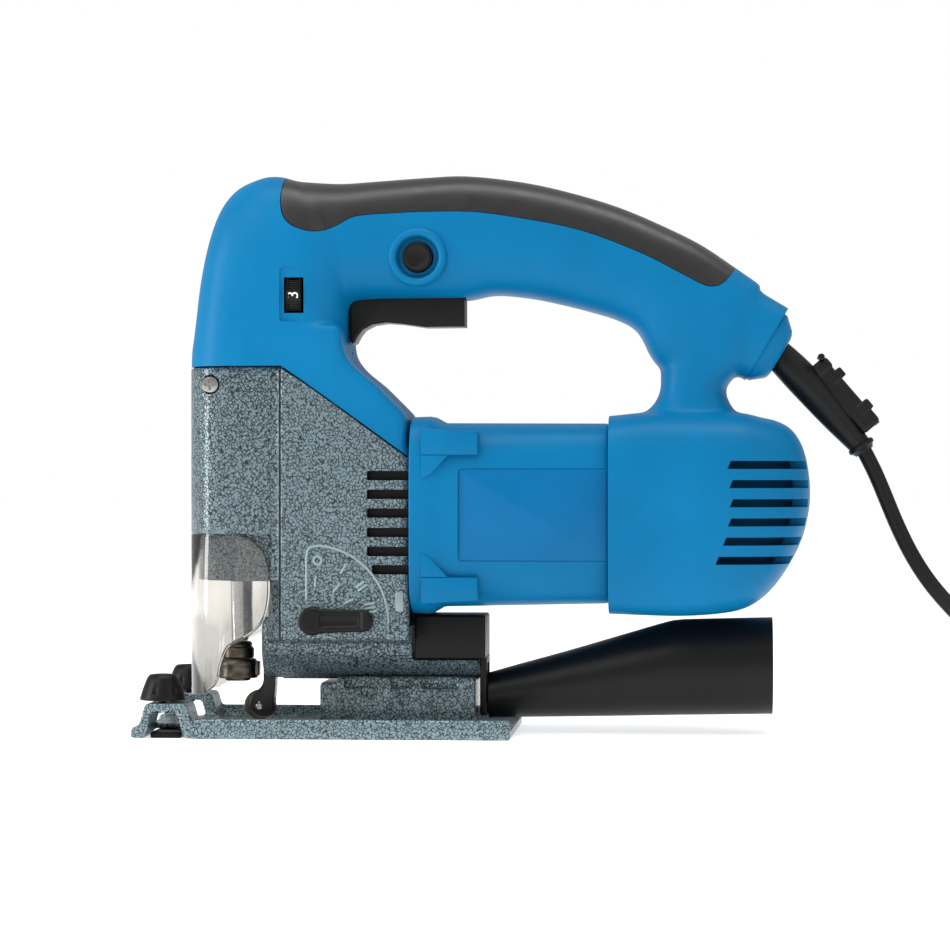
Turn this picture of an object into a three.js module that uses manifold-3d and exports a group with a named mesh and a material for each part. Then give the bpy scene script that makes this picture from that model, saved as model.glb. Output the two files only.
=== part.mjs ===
// Orbital-action jigsaw with a closed D handle, a tilting shoe and a pull-off dust spout.
// Millimetres, +Z up, the nose towards -X, the sole on z = 0, the middle plane at y = 0.
import * as THREE from 'three';
import { mergeVertices } from 'three/addons/utils/BufferGeometryUtils.js';
import Module from 'manifold-3d';

const wasm = await Module();
wasm.setup();

// ---------------------------------------------------------------- driving dimensions
const GAP = 0.3; // clearance left between neighbouring pieces
const WALL = 3; // casing wall
const MOTOR_Z = 80.5; // height of the armature axis
const REAR_X = 122.6; // back of the rear housing
const NOSE_X = -106; // front of the gear housing
const JOINT_Z = 134.6; // top face of the gear housing nose
const HEAD_HALF = 26.5; // half width of the head
const GRIP_HALF = 17.5; // half width of the handle
const GEAR_HALF = 28; // half width of the gear housing
const MOTOR_HALF = 32; // half width of the motor housing
const REAR_HALF = 34.5; // half width of the rear housing
const FLANGE_X = -22.4; // front face of the motor housing
const SEAM_X = 49.4; // seam between motor housing and rear housing
const TILT_Z = 34; // height of the shoe's tilt axis
const NECK_R = 14.5; // radius of the half round neck about the tilt axis
const SHOE_TIP_X = -122.6; // front of the shoe
const SHOE_END_X = 14.6; // back of the shoe
const SHOE_HALF = 39.5; // half width of the shoe
const PLUNGER_X = -89; // plunger axis
const STROKE = 19; // plunger stroke
const MODULE = 0.9; // gear tooth module
const PINION_TEETH = 8;
const GEAR_TEETH = 38;
const MOTOR_BORE = 29; // radius of the motor tube's bore
const GEAR_X = -60; // middle of the gear train's face width
const GEAR_Z = MOTOR_Z + (MODULE * (PINION_TEETH + GEAR_TEETH)) / 2;
const CORD_R = 2.9; // mains cord radius

// ---------------------------------------------------------------- finishes
const finish = (color, roughness, metalness = 0) => ({ color, roughness, metalness });
const BLUE = finish(0x0a7cc0, 0.45);
const SOFT_BLACK = finish(0x1c1b1c, 0.75);
const HARD_BLACK = finish(0x17181a, 0.5);
const HAMMERED = finish(0x7f969c, 0.4, 0.3);
const STEEL = finish(0xb9bcc0, 0.3, 1);
const DARK_STEEL = finish(0x4a4743, 0.35, 0.9);
const CLEAR = finish(0xdfe3e4, 0.1);
const COPPER = finish(0xb46a3c, 0.35, 0.9);
const LAMINATION = finish(0x5d6065, 0.5, 0.8);
const BRONZE = finish(0xa07a45, 0.4, 0.8);
const CARBON = finish(0x26272a, 0.7);

// ---------------------------------------------------------------- solids
function toSolid(geometry) {
  const bare = geometry.index ? geometry.toNonIndexed() : geometry.clone();
  bare.deleteAttribute('normal');
  bare.deleteAttribute('uv');
  const merged = mergeVertices(bare, 1e-4);
  const at = merged.attributes.position.array;
  const corners = [];
  let volume = 0;
  const p = [new THREE.Vector3(), new THREE.Vector3(), new THREE.Vector3()];
  for (let i = 0; i < merged.index.count; i += 3) {
    const tri = [0, 1, 2].map((k) => merged.index.getX(i + k));
    if (tri[0] === tri[1] || tri[1] === tri[2] || tri[2] === tri[0]) continue;
    corners.push(...tri);
    tri.forEach((v, k) => p[k].fromArray(at, v * 3));
    volume += p[0].dot(p[1].clone().cross(p[2]));
  }
  if (volume < 0) corners.reverse();
  return new wasm.Manifold(new wasm.Mesh({
    numProp: 3,
    vertProperties: new Float32Array(at),
    triVerts: new Uint32Array(corners),
  }));
}

const union = (...solids) => solids.reduce((whole, next) => whole.add(next));
const cut = (solid, ...tools) => tools.reduce((left, tool) => left.subtract(tool), solid);

const outline = (points) => new THREE.Shape(points.map(([u, v]) => new THREE.Vector2(u, v)));

// A closed outline whose listed corners are eased by quadratic arcs of the given reach.
function eased(points, reach = 3) {
  const shape = new THREE.Shape();
  const n = points.length;
  points.forEach(([u, v, own], i) => {
    const here = new THREE.Vector2(u, v);
    const toward = (k) => {
      const other = new THREE.Vector2(points[k][0], points[k][1]);
      const pull = Math.min(own ?? reach, here.distanceTo(other) * 0.45);
      return here.clone().add(other.sub(here).setLength(pull));
    };
    const a = toward((i + n - 1) % n);
    const b = toward((i + 1) % n);
    if (i === 0) shape.moveTo(a.x, a.y);
    else shape.lineTo(a.x, a.y);
    if ((own ?? reach) > 0) shape.quadraticCurveTo(u, v, b.x, b.y);
  });
  return shape;
}

function extruded(shape, depth, { bevel = 0, rings = 2, curve = 3, inset = 0 } = {}) {
  return new THREE.ExtrudeGeometry(shape, {
    depth: depth - 2 * bevel,
    curveSegments: curve,
    bevelEnabled: bevel > 0 || inset > 0,
    bevelThickness: bevel,
    bevelSize: bevel,
    bevelOffset: -bevel - inset,
    bevelSegments: bevel > 0 ? rings : 0,
  }).translate(0, 0, bevel);
}

// Side outlines (x, z) run along Y, front outlines (y, z) along X, plan outlines (x, y) along Z.
const alongY = (shape, y0, y1, options) =>
  toSolid(extruded(shape, y1 - y0, options).rotateX(Math.PI / 2).translate(0, y1, 0));
const alongX = (shape, x0, x1, options) =>
  toSolid(extruded(shape, x1 - x0, options)
    .applyMatrix4(new THREE.Matrix4().set(0, 0, 1, x0, 1, 0, 0, 0, 0, 1, 0, 0, 0, 0, 0, 1)));
const alongZ = (shape, z0, z1, options) =>
  toSolid(extruded(shape, z1 - z0, options).translate(0, 0, z0));

const block = (x0, x1, y0, y1, z0, z1) =>
  toSolid(new THREE.BoxGeometry(x1 - x0, y1 - y0, z1 - z0)
    .translate((x0 + x1) / 2, (y0 + y1) / 2, (z0 + z1) / 2));

// A turned solid: profile points are [radius, distance along the axis] from the given origin.
const AXES = {
  x: new THREE.Matrix4().set(0, 1, 0, 0, 0, 0, 1, 0, 1, 0, 0, 0, 0, 0, 0, 1),
  y: new THREE.Matrix4(),
  z: new THREE.Matrix4().makeRotationX(Math.PI / 2),
};
const turned = (profile, axis, [x, y, z], segments = 24) =>
  toSolid(new THREE.LatheGeometry(profile.map(([r, h]) => new THREE.Vector2(r, h)), segments)
    .applyMatrix4(AXES[axis]).translate(x, y, z));
const rod = (axis, radius, from, to, at, segments) =>
  turned([[0, from], [radius, from], [radius, to], [0, to]], axis, at, segments);
const ring = (axis, inner, outer, from, to, at, segments) =>
  turned([[inner, from], [outer, from], [outer, to], [inner, to], [inner, from]], axis, at, segments);

// A superellipse cross-section, for tubes with softly flattened sides.
function softSquare(halfWidth, halfHeight, centre, power = 3, steps = 28) {
  const points = [];
  for (let i = 0; i < steps; i += 1) {
    const a = (i / steps) * 2 * Math.PI;
    const bend = (value) => Math.sign(value) * Math.abs(value) ** (2 / power);
    points.push([halfWidth * bend(Math.cos(a)), centre + halfHeight * bend(Math.sin(a))]);
  }
  return outline(points);
}

const object = new THREE.Group();
object.name = 'jigsaw';

function piece(name, solid, look) {
  const { vertProperties, triVerts } = solid.getMesh();
  const geometry = new THREE.BufferGeometry();
  geometry.setAttribute('position', new THREE.BufferAttribute(new Float32Array(vertProperties), 3));
  geometry.setIndex(new THREE.BufferAttribute(new Uint32Array(triVerts), 1));
  geometry.computeVertexNormals();
  const mesh = new THREE.Mesh(geometry, new THREE.MeshStandardMaterial(look));
  mesh.name = name;
  object.add(mesh);
}

// ---------------------------------------------------------------- handle shells
const headSide = () => {
  const shape = new THREE.Shape();
  shape.moveTo(-23.6, 96);
  shape.lineTo(-105.4, 120);
  shape.lineTo(-105.4, 135.1);
  shape.splineThru([[-103.5, 152.5], [-102, 167.3], [-98.7, 182], [-95.4, 193.2], [-88.7, 200.6],
    [-80.2, 204.6], [-72.8, 205.7]].map(([x, z]) => new THREE.Vector2(x, z)));
  shape.lineTo(-58, 203.5);
  shape.lineTo(-47, 190);
  shape.lineTo(-47, 137.7);
  shape.lineTo(-43.2, 134);
  shape.lineTo(-35.8, 128.4);
  shape.lineTo(-23.6, 116.6);
  return shape;
};

const handleSide = () => {
  const shape = new THREE.Shape();
  const through = (points) => shape.splineThru(points.map(([x, z]) => new THREE.Vector2(x, z)));
  shape.moveTo(-75, 205.4);
  through([[-71, 204.6], [-50.6, 203.1], [-6.2, 205.3], [23.4, 201.9], [53, 193.5], [82.6, 179.8],
    [94.4, 171.7], [104.8, 165], [113, 157.5]]);
  shape.lineTo(116.3, 147.3);
  shape.lineTo(108.5, 133.6);
  through([[99.3, 130.3], [92.4, 127], [96.7, 118.4]]);
  shape.lineTo(96.7, 100);
  shape.lineTo(SEAM_X, 100);
  shape.lineTo(SEAM_X, 116.6);
  through([[60.4, 118], [66, 121], [68, 128.4], [68, 141.4], [60.4, 148.8], [38.2, 156.2],
    [23.4, 159.5], [8.6, 161.5]]);
  shape.lineTo(-1, 160);
  shape.lineTo(-60, 160);
  shape.lineTo(-80, 180);
  return shape;
};

const rearSide = () => {
  const shape = new THREE.Shape();
  const through = (points) => shape.splineThru(points.map(([x, z]) => new THREE.Vector2(x, z)));
  shape.moveTo(SEAM_X - 20, 44);
  through([[75.2, 43.5], [90, 44.4], [101.1, 46.3], [108.5, 52.6], [115.9, 63.3],
    [121.5, 78.5], [REAR_X, 88], [121.5, 98.8], [117.8, 108.5], [110, 114.7], [96.7, 118.4]]);
  shape.lineTo(SEAM_X - 20, 118);
  return shape;
};

const headPlan = (side) => {
  const shape = new THREE.Shape();
  shape.moveTo(-20, -side);
  shape.lineTo(-84, -side);
  shape.bezierCurveTo(-98, -side, -105.4, -side * 0.6, -105.4, 0);
  shape.bezierCurveTo(-105.4, side * 0.6, -98, side, -84, side);
  shape.lineTo(-20, side);
  return shape;
};
const rearPlan = () => eased([[SEAM_X, -REAR_HALF], [101, -REAR_HALF, 14], [REAR_X, -24, 12],
  [REAR_X, 24, 12], [101, REAR_HALF, 14], [SEAM_X, REAR_HALF]].map(([x, y, r]) => [x, y, r ?? 0]));

// Edge rounding that keeps its outer reach as the form is inset.
const softened = (bevel, rings, inset) =>
  ({ bevel: Math.max(bevel - inset, 1.5), rings, inset, curve: 2 });

// The outer form of the clamshell, or its hollow when inset by the wall.
function head(inset) {
  const body = alongY(headSide(), inset - HEAD_HALF, HEAD_HALF - inset, softened(8, 2, inset));
  const plan = alongZ(headPlan(HEAD_HALF - inset), 80, 210, { curve: 7 });
  return cut(body.intersect(plan), shoulder(1, inset), shoulder(-1, inset));
}

// The wedge taken off each side where the wide head narrows up into the handle.
function shoulder(side, inset) {
  const wedge = extruded(outline([[-76, 26.8 - inset], [-40, 14.5 - inset], [-10, 14.5 - inset],
    [-10, 60], [-76, 60]]), 82);
  const lean = 0.16;
  wedge.translate(0, 0, 134).applyMatrix4(new THREE.Matrix4()
    .set(1, 0, 0, 0, 0, side, -lean * side, 202 * lean * side, 0, 0, 1, 0, 0, 0, 0, 1));
  return toSolid(wedge);
}
const handle = (inset) =>
  alongY(handleSide(), inset - GRIP_HALF, GRIP_HALF - inset, softened(8, 2, inset));
const rear = (inset) => alongY(rearSide(), inset - REAR_HALF, REAR_HALF - inset,
  softened(6, 2, inset))
  .intersect(alongX(softSquare(REAR_HALF - inset, 37.3 - inset, 80.9), SEAM_X, REAR_X))
  .intersect(alongZ(rearPlan(), 40, 122, { inset }));

// Everything below the sloping joint line belongs to the gear housing.
const belowJoint = (lift) => alongY(outline([[-120, JOINT_Z + lift], [-69.6, JOINT_Z + lift],
  [-62.5, 129.8 + lift], [-44.4, 116.9 + lift], [-23.4, 101.7 + lift], [-10, 92 + lift],
  [-10, 60], [-120, 60]]), -40, 40);

// The soft grip wraps the top of the handle down to this line.
const gripArea = (grow) => {
  const shape = new THREE.Shape();
  shape.moveTo(-69.6 - grow, 215);
  shape.lineTo(-69.9 - grow, 197);
  shape.splineThru([[-67.3 - grow, 188.2 - grow], [-60.7, 184.1 - grow], [-54.2, 184.5 - grow],
    [-41.4, 189.9 - grow], [-10, 191.5 - grow], [16.9, 189 - grow], [38.8, 184.5 - grow],
    [60.7, 176.2 - grow], [75.3, 168.7 - grow], [83.5, 164.8 - grow], [88.1 + grow, 165 - grow]]
    .map(([x, z]) => new THREE.Vector2(x, z)));
  shape.lineTo(96.5 + grow, 172.5);
  shape.lineTo(110, 215);
  return alongY(shape, -40, 40, { curve: 2 });
};

const GRIP_SKIN = 2.2; // thickness of the soft grip
const LOCK = { x: -20.5, z: 174.7, r: 5.4 };
const DIAL = { x: -65, y: -17.6, z: 160.5, r: 9.4 };
const TRIGGER_X = [-46.6, -4];

const upper = (inset) => union(head(inset), handle(inset));

function shellSolid() {
  const outer = union(cut(upper(0), gripArea(0.25)), upper(GRIP_SKIN + GAP), rear(0));
  const hollow = union(head(WALL + GRIP_SKIN), handle(GRIP_SKIN + GAP + WALL), rear(WALL));
  const lockBoss = rod('y', 10.7, -GRIP_HALF - 0.9, -GRIP_HALF + 1, [LOCK.x, 0, LOCK.z], 28);
  return cut(union(outer, lockBoss), cut(hollow, block(98, 130, -40, 40, 118, 170)), belowJoint(GAP),
    // trigger opening, motor housing spigot and armature bearing room
    block(TRIGGER_X[0] - 0.5, TRIGGER_X[1] + 0.5, -8, 8, 150, 172),
    // lock button well and through hole
    rod('y', 7.5, -GRIP_HALF - 3, -GRIP_HALF + 1.4, [LOCK.x, 0, LOCK.z], 24),
    rod('y', LOCK.r + GAP, -30, 0, [LOCK.x, 0, LOCK.z], 24),
    // dial window in its shallow frame
    block(-70.1, -59.6, -40, -HEAD_HALF + 1, 150.8, 170.8),
    block(-68.2, -61.7, -40, -14, 154.5, 166.4),
    rod('x', DIAL.r + 2 * GAP, -68.6, -61.4, [0, DIAL.y, DIAL.z], 32),
    // room behind the seam for the end of the motor
    rod('x', MOTOR_BORE + GAP, 45, 53, [0, 0, MOTOR_Z], 40),
    cordBore());
}

// Cooling slots, run round the back of the housing on both sides.
function rearVents() {
  const starts = [92.2, 92.9, 93, 92.4, 90.6, 87.9];
  return starts.flatMap((x, i) => {
    const z = 98.7 - i * 6.86;
    const slot = outline([[x, z - 1.45], [140, z - 1.45], [140, z + 1.45], [x + 1.2, z + 1.45]]);
    return [alongY(slot, -40, -15), alongY(slot, 15, 40)];
  });
}

const CORD_EXIT = new THREE.Vector3(111.9, 0, 139);
const SLEEVE_DIR = new THREE.Vector3(Math.cos(-31 * Math.PI / 180), 0, Math.sin(-31 * Math.PI / 180));
function aimed(profile, origin, direction, segments = 14) {
  const turn = new THREE.Quaternion().setFromUnitVectors(new THREE.Vector3(0, 1, 0), direction);
  const geometry = new THREE.LatheGeometry(profile.map(([r, h]) => new THREE.Vector2(r, h)), segments)
    .applyQuaternion(turn).translate(origin.x, origin.y, origin.z);
  return toSolid(geometry);
}
const cordBore = () => aimed([[0, -22], [6.8, -22], [6.8, 12], [0, 12]], CORD_EXIT, SLEEVE_DIR);

const shell = cut(shellSolid(), ...rearVents());
const SIDE_LEFT = block(-130, 130, -60, -GAP / 2, -10, 220);
const SIDE_RIGHT = block(-130, 130, GAP / 2, 60, -10, 220);

const SHELL_SCREWS = [[-96, 176], [-52, 172], [100, 152]];
const screwSolid = ([x, z], y) => union(rod('y', 3.4, y - 3.2, y - 0.2, [x, 0, z], 12),
  rod('y', 1.6, y - 11, y - 3, [x, 0, z], 10));
const screwHole = ([x, z], y) => union(rod('y', 3.8, y - 3.6, y + 12, [x, 0, z], 12),
  rod('y', 1.9, y - 20, y - 3, [x, 0, z], 10));
const SCREW_FACE = [19, 16.5, 16.5];

piece('left_handle_shell', shell.intersect(SIDE_LEFT), BLUE);
piece('right_handle_shell', cut(shell.intersect(SIDE_RIGHT),
  ...SHELL_SCREWS.map((at, i) => screwHole(at, SCREW_FACE[i]))), BLUE);
SHELL_SCREWS.forEach((at, i) => piece(`handle_screw_${i + 1}`, screwSolid(at, SCREW_FACE[i]), STEEL));

const gripSolid = cut(upper(0).intersect(gripArea(0)), upper(GRIP_SKIN));
piece('left_grip_pad', gripSolid.intersect(SIDE_LEFT), SOFT_BLACK);
piece('right_grip_pad', gripSolid.intersect(SIDE_RIGHT), SOFT_BLACK);

// ---------------------------------------------------------------- motor housing
const motorForm = union(
  alongX(softSquare(MOTOR_HALF, 33.6, 80.6, 4), -14.6, SEAM_X - GAP),
  alongX(softSquare(MOTOR_HALF + 0.6, 36.2, 80.4, 4.4), FLANGE_X, -14.4));
const PANEL = { x: -4.7, y: 31.2, low: 63.9, high: 97.5 };
piece('motor_housing', cut(motorForm, rod('x', MOTOR_BORE, -40, 60, [0, 0, MOTOR_Z], 40),
  block(PANEL.x, 60, -40, -PANEL.y, PANEL.low, PANEL.high),
  block(PANEL.x, 60, PANEL.y, 40, PANEL.low, PANEL.high)), BLUE);

// ---------------------------------------------------------------- gear housing
const nosePlan = (side, front, back = -60, sweep = 17) => {
  const shape = new THREE.Shape();
  shape.moveTo(back, -side);
  shape.lineTo(front + sweep, -side);
  shape.bezierCurveTo(front + sweep * 0.35, -side, front, -side * 0.62, front, 0);
  shape.bezierCurveTo(front, side * 0.62, front + sweep * 0.35, side, front + sweep, side);
  shape.lineTo(back, side);
  return shape;
};
const GUARD_TOP = 73.3;
const NOSE_HALF = 22.5;
const GUARD_SKIN = 1.8;
const GUARD_BACK = -74;

function gearForm() {
  const nose = alongZ(nosePlan(NOSE_HALF, NOSE_X, -69.8), 56.3, JOINT_Z, { curve: 7 });
  const cheeks = alongZ(nosePlan(NOSE_HALF - 2.4, -77, -60, 5), 34.5, 60, { curve: 4 });
  const body = alongY(outline([[-70.4, 34.5], [FLANGE_X - GAP, 34.5], [FLANGE_X - GAP, 101],
    [-44.4, 116.9], [-62.5, 129.8], [-70.4, JOINT_Z]]), -GEAR_HALF, GEAR_HALF,
  { bevel: 1.5, rings: 1 });
  const neck = rod('x', NECK_R, -78.5, FLANGE_X - GAP, [0, 0, TILT_Z], 32);
  const tail = rod('x', NECK_R, FLANGE_X - 1, 1.5, [0, 0, TILT_Z], 32)
    .intersect(block(-30, 10, -20, 20, 0, 27.2));
  return union(nose, cheeks, body, neck, tail);
}

// The upper nose steps in below the guard's top edge, so that the guard lies flush.
const guardSeat = () => cut(block(-120, GUARD_BACK + 0.5, -40, 40, 50, GUARD_TOP + GAP),
  alongZ(nosePlan(NOSE_HALF - GUARD_SKIN - 2 * GAP, NOSE_X + GUARD_SKIN + 2 * GAP, -50), 45, 80,
    { curve: 7 }));

const FORK_PIN = { x: -76.5, z: 44 };
function gearCavity() {
  const main = alongY(outline([[-66, 40], [0, 40], [0, 85], [-22, 97], [-44.4, 113.2], [-63.5, 126.8],
    [-66, 160]]), WALL - GEAR_HALF, GEAR_HALF - WALL);
  const front = alongZ(nosePlan(NOSE_HALF - WALL - 2.4, NOSE_X + WALL + 2.4), 70, 160, { curve: 7 });
  return union(main, front);
}

const GEAR_VENTS = [94.9, 88.1, 81.3, 74.3, 67.4, 60.8];
const gearVents = () => GEAR_VENTS.flatMap((z, i) => {
  const x = i < 5 ? -38 : -36.2;
  return [block(x, -23, -40, -20, z - 1.7, z + 1.7), block(x, -23, 20, 40, z - 1.7, z + 1.7)];
});
const DUST_BORE = { r: 5, z: 29 };
const NOSE_SCREW = [-96.4, 0, 128.2];

const gearHousing = cut(gearForm(), guardSeat(), gearCavity(), ...gearVents(),
  // guide bores for the plunger bushings
  rod('z', 8, 50, 75, [PLUNGER_X, 0, 0], 24),
  // fork slot through the front of the neck
  block(-90, -71.5, -4.6, 4.6, 15, 50),
  rod('y', 1.8, -14, 14, [FORK_PIN.x, 0, FORK_PIN.z], 12),
  // dust channel along the neck
  rod('x', DUST_BORE.r, -100, -20, [0, 0, DUST_BORE.z], 16),
  // recessed nose screws
  rod('y', 3.7, -40, -18.4, NOSE_SCREW, 16),
  rod('y', 3.7, 18.4, 40, NOSE_SCREW, 16),
  // parting groove down each side
  block(-71.3, -69.9, -40, -22.1, 56, 140),
  block(-71.3, -69.9, 22.1, 40, 56, 140));
piece('gear_housing', gearHousing, HAMMERED);
[-1, 1].forEach((side) => piece(side < 0 ? 'left_nose_screw' : 'right_nose_screw',
  rod('y', 3.3, side * 18.8, side * 20.4, NOSE_SCREW, 14), DARK_STEEL));

// ---------------------------------------------------------------- blade guard
const guardSide = () => {
  const shape = new THREE.Shape();
  shape.moveTo(-120, GUARD_TOP);
  shape.lineTo(-86.2, GUARD_TOP);
  shape.splineThru([[-79.8, 70.6], [-75.6, 65], [GUARD_BACK, 54.5], [-75.8, 43.5], [-81.6, 37.2],
    [-88.7, 33.2], [-91.6, 27.1], [-93.4, 19.9], [-98.4, 15.2]]
    .map(([x, z]) => new THREE.Vector2(x, z)));
  shape.lineTo(-120, 14.2);
  return shape;
};
const guardPlan = (inset) =>
  alongZ(nosePlan(NOSE_HALF - inset, NOSE_X + inset, -40), 5, 90, { curve: 9 });
piece('blade_guard', cut(guardPlan(0), guardPlan(GUARD_SKIN))
  .intersect(alongY(guardSide(), -60, 60, { curve: 2 })), CLEAR);

// ---------------------------------------------------------------- plunger and blade clamp
const COLLAR = { low: 19.8, mid: 27.2, high: 33.4 };
piece('plunger', rod('z', 4.05, COLLAR.high + GAP, 138, [PLUNGER_X, 0, 0], 24), STEEL);
piece('clamp_collar', turned([[0, COLLAR.mid], [6, COLLAR.mid], [6, 31], [4.6, COLLAR.high],
  [0, COLLAR.high]], 'z', [PLUNGER_X, 0, 0], 28), DARK_STEEL);
piece('clamp_body', cut(union(turned([[0, COLLAR.low - 1], [4.6, COLLAR.low - 1],
  [5, COLLAR.low], [7.5, COLLAR.low], [7.5, 25.6], [6.6, COLLAR.mid - GAP], [0, COLLAR.mid - GAP]],
'z', [PLUNGER_X, 0, 0], 28), block(PLUNGER_X, PLUNGER_X + 8.2, -2.6, 2.6, 20.6, 26)),
block(PLUNGER_X - 2, PLUNGER_X + 5, -0.8, 0.8, 10, 25)), DARK_STEEL);
piece('lower_bushing', ring('z', 4.05 + GAP, 8 - GAP, 57, 68, [PLUNGER_X, 0, 0], 24), BRONZE);
piece('upper_bushing', ring('z', 4.05 + GAP, 8, 122, 134, [PLUNGER_X, 0, 0], 24), BRONZE);
const CRANK_R = STROKE / 2;
const YOKE_Z = GEAR_Z - CRANK_R;
const yokeSlot = block(-76, -70, -11.5, 11.5, YOKE_Z - 2.6, YOKE_Z + 2.6);
piece('scotch_yoke', cut(union(
  ring('z', 4.05 + GAP, 7, YOKE_Z - 6, YOKE_Z + 6, [PLUNGER_X, 0, 0], 24),
  block(PLUNGER_X + 5, -71.6, -4, 4, YOKE_Z - 5, YOKE_Z + 5),
  block(-74.6, -71.4, -14.5, 14.5, YOKE_Z - 5.4, YOKE_Z + 5.4)), yokeSlot), STEEL);

// ---------------------------------------------------------------- roller fork
const ROLLER = { x: -80.6, z: 9.6, r: 5.8 };
const forkSide = eased([[-79, 46.5], [-79, 17.5], [-83.6, 13], [-84.4, 8.6], [-81, 5.4], [-75.6, 5.2],
  [-74.6, 16], [-74, 46.5]], 1.6);
piece('roller_fork', cut(alongY(forkSide, -3.9, 3.9, { curve: 2 }),
  rod('y', ROLLER.r + 0.5, -2.5, 2.5, [ROLLER.x, 0, ROLLER.z], 24),
  block(-92, -80, -2.5, 2.5, 0, 14),
  rod('y', 1.2 + GAP, -8, 8, [ROLLER.x, 0, ROLLER.z], 12),
  rod('y', 1.5 + GAP, -8, 8, [FORK_PIN.x, 0, FORK_PIN.z], 12)), HARD_BLACK);
piece('guide_roller', ring('y', 1.2 + GAP, ROLLER.r, -2.2, 2.2, [ROLLER.x, 0, ROLLER.z], 28),
  HARD_BLACK);
piece('roller_pin', rod('y', 1.2, -4.2, 4.2, [ROLLER.x, 0, ROLLER.z], 12), STEEL);
piece('fork_pin', rod('y', 1.5, -9, 9, [FORK_PIN.x, 0, FORK_PIN.z], 12), STEEL);

// ---------------------------------------------------------------- orbit selector
const ORBIT = { x: -57.5, z: 42.2 };
piece('orbit_lever', union(
  rod('y', 4.4, -31.6, -GEAR_HALF - GAP, [ORBIT.x, 0, ORBIT.z], 20),
  alongY(eased([[-58, 37.9], [-37, 38.6], [-35.2, 42.2], [-37, 46], [-58, 46.5]], 1.8),
    -31.4, -GEAR_HALF - 2 * GAP, { curve: 2 })), HARD_BLACK);

// ---------------------------------------------------------------- gear train
function toothed(teeth, bore) {
  const shape = new THREE.Shape();
  const pitch = (MODULE * teeth) / 2;
  const radii = [pitch - 1.2 * MODULE, pitch - 0.2 * MODULE, pitch + 0.75 * MODULE];
  const half = Math.PI / teeth;
  const marks = [[0, -0.74], [1, -0.5], [2, -0.22], [2, 0.22], [1, 0.5], [0, 0.74]];
  for (let i = 0; i < teeth; i += 1) {
    marks.forEach(([level, share], k) => {
      const a = i * 2 * half + share * half * 0.94;
      const at = [radii[level] * Math.cos(a), radii[level] * Math.sin(a)];
      if (i + k === 0) shape.moveTo(...at);
      else shape.lineTo(...at);
    });
  }
  if (bore) shape.holes.push(new THREE.Path().absarc(0, 0, bore, 0, 2 * Math.PI, true));
  return shape;
}
const gearBlank = (teeth, bore, x0, x1, z, turn) =>
  alongX(toothed(teeth, bore), x0, x1, { curve: 20 })
    .rotate([turn, 0, 0]).translate([0, 0, z]);
piece('crank_gear', union(gearBlank(GEAR_TEETH, 4 + GAP, GEAR_X - 3, GEAR_X + 3, GEAR_Z, 0),
  rod('x', 2.2, GEAR_X - 8, GEAR_X - 2.5, [0, 0, GEAR_Z - CRANK_R], 14)), STEEL);
piece('gear_axle', rod('x', 4, GEAR_X - 4, -47.4, [0, 0, GEAR_Z], 20), STEEL);
const PINION_TURN = 90; // sets a pinion tooth in the gear's gap
piece('armature_shaft', union(gearBlank(PINION_TEETH, 0, GEAR_X - 3.5, GEAR_X + 5, MOTOR_Z,
  PINION_TURN),
  rod('x', 4, GEAR_X + 4.5, 71, [0, 0, MOTOR_Z], 20)), STEEL);

// ---------------------------------------------------------------- motor
const onAxis = [0, 0, MOTOR_Z];
piece('bearing_plate', cut(alongX(eased([[-24, 41], [24, 41], [24, 108], [-24, 108]], 8),
  -50, -46), rod('x', 11 + GAP, -60, -40, onAxis, 24),
rod('x', 4 + GAP, -60, -40, [0, 0, GEAR_Z], 20)), LAMINATION);
piece('front_bearing', ring('x', 4 + GAP, 11, -51.5, -44.5, onAxis, 24), STEEL);
piece('cooling_fan', (() => {
  let fan = ring('x', 4 + GAP, 16.5, -28, -26.5, onAxis, 28);
  for (let i = 0; i < 12; i += 1) {
    fan = fan.add(block(-35, -27, -0.7, 0.7, 6, 16.5).rotate([i * 30, 0, 0]).translate([0, 0, MOTOR_Z]));
  }
  return fan.add(ring('x', 4 + GAP, 7, -35, -26.5, onAxis, 20));
})(), HARD_BLACK);
piece('armature_core', ring('x', 4 + GAP, 15.5, -12, 30, onAxis, 28), LAMINATION);
piece('commutator', ring('x', 4 + GAP, 9, 36, 48, onAxis, 24), COPPER);
piece('stator_core', ring('x', 16.2, 28.4, -12, 30, onAxis, 32), LAMINATION);
piece('front_field_coil', ring('x', 18, 26, -19, -12 - GAP, onAxis, 24), COPPER);
piece('rear_field_coil', ring('x', 18, 26, 30 + GAP, 37, onAxis, 24), COPPER);
piece('brush_carrier', union(ring('x', 13, 29, 52, 55.5, onAxis, 28),
  ring('x', 10 + GAP, 13.5, 52, 68, onAxis, 24)), HARD_BLACK);
piece('rear_bearing', ring('x', 4 + GAP, 10, 60, 67, onAxis, 24), STEEL);
[-1, 1].forEach((side) => {
  const name = side < 0 ? 'left' : 'right';
  const [y0, y1] = side < 0 ? [-26, -11] : [11, 26];
  const [b0, b1] = side < 0 ? [-22, -9.4] : [9.4, 22];
  piece(`${name}_brush_holder`, cut(block(38.4, 46.6, y0, y1, MOTOR_Z - 5, MOTOR_Z + 5),
    block(39.5, 45.5, -30, 30, MOTOR_Z - 3.5, MOTOR_Z + 3.5)), BRONZE);
  piece(`${name}_carbon_brush`, block(39.8, 45.2, b0, b1, MOTOR_Z - 3.2, MOTOR_Z + 3.2), CARBON);
});

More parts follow.
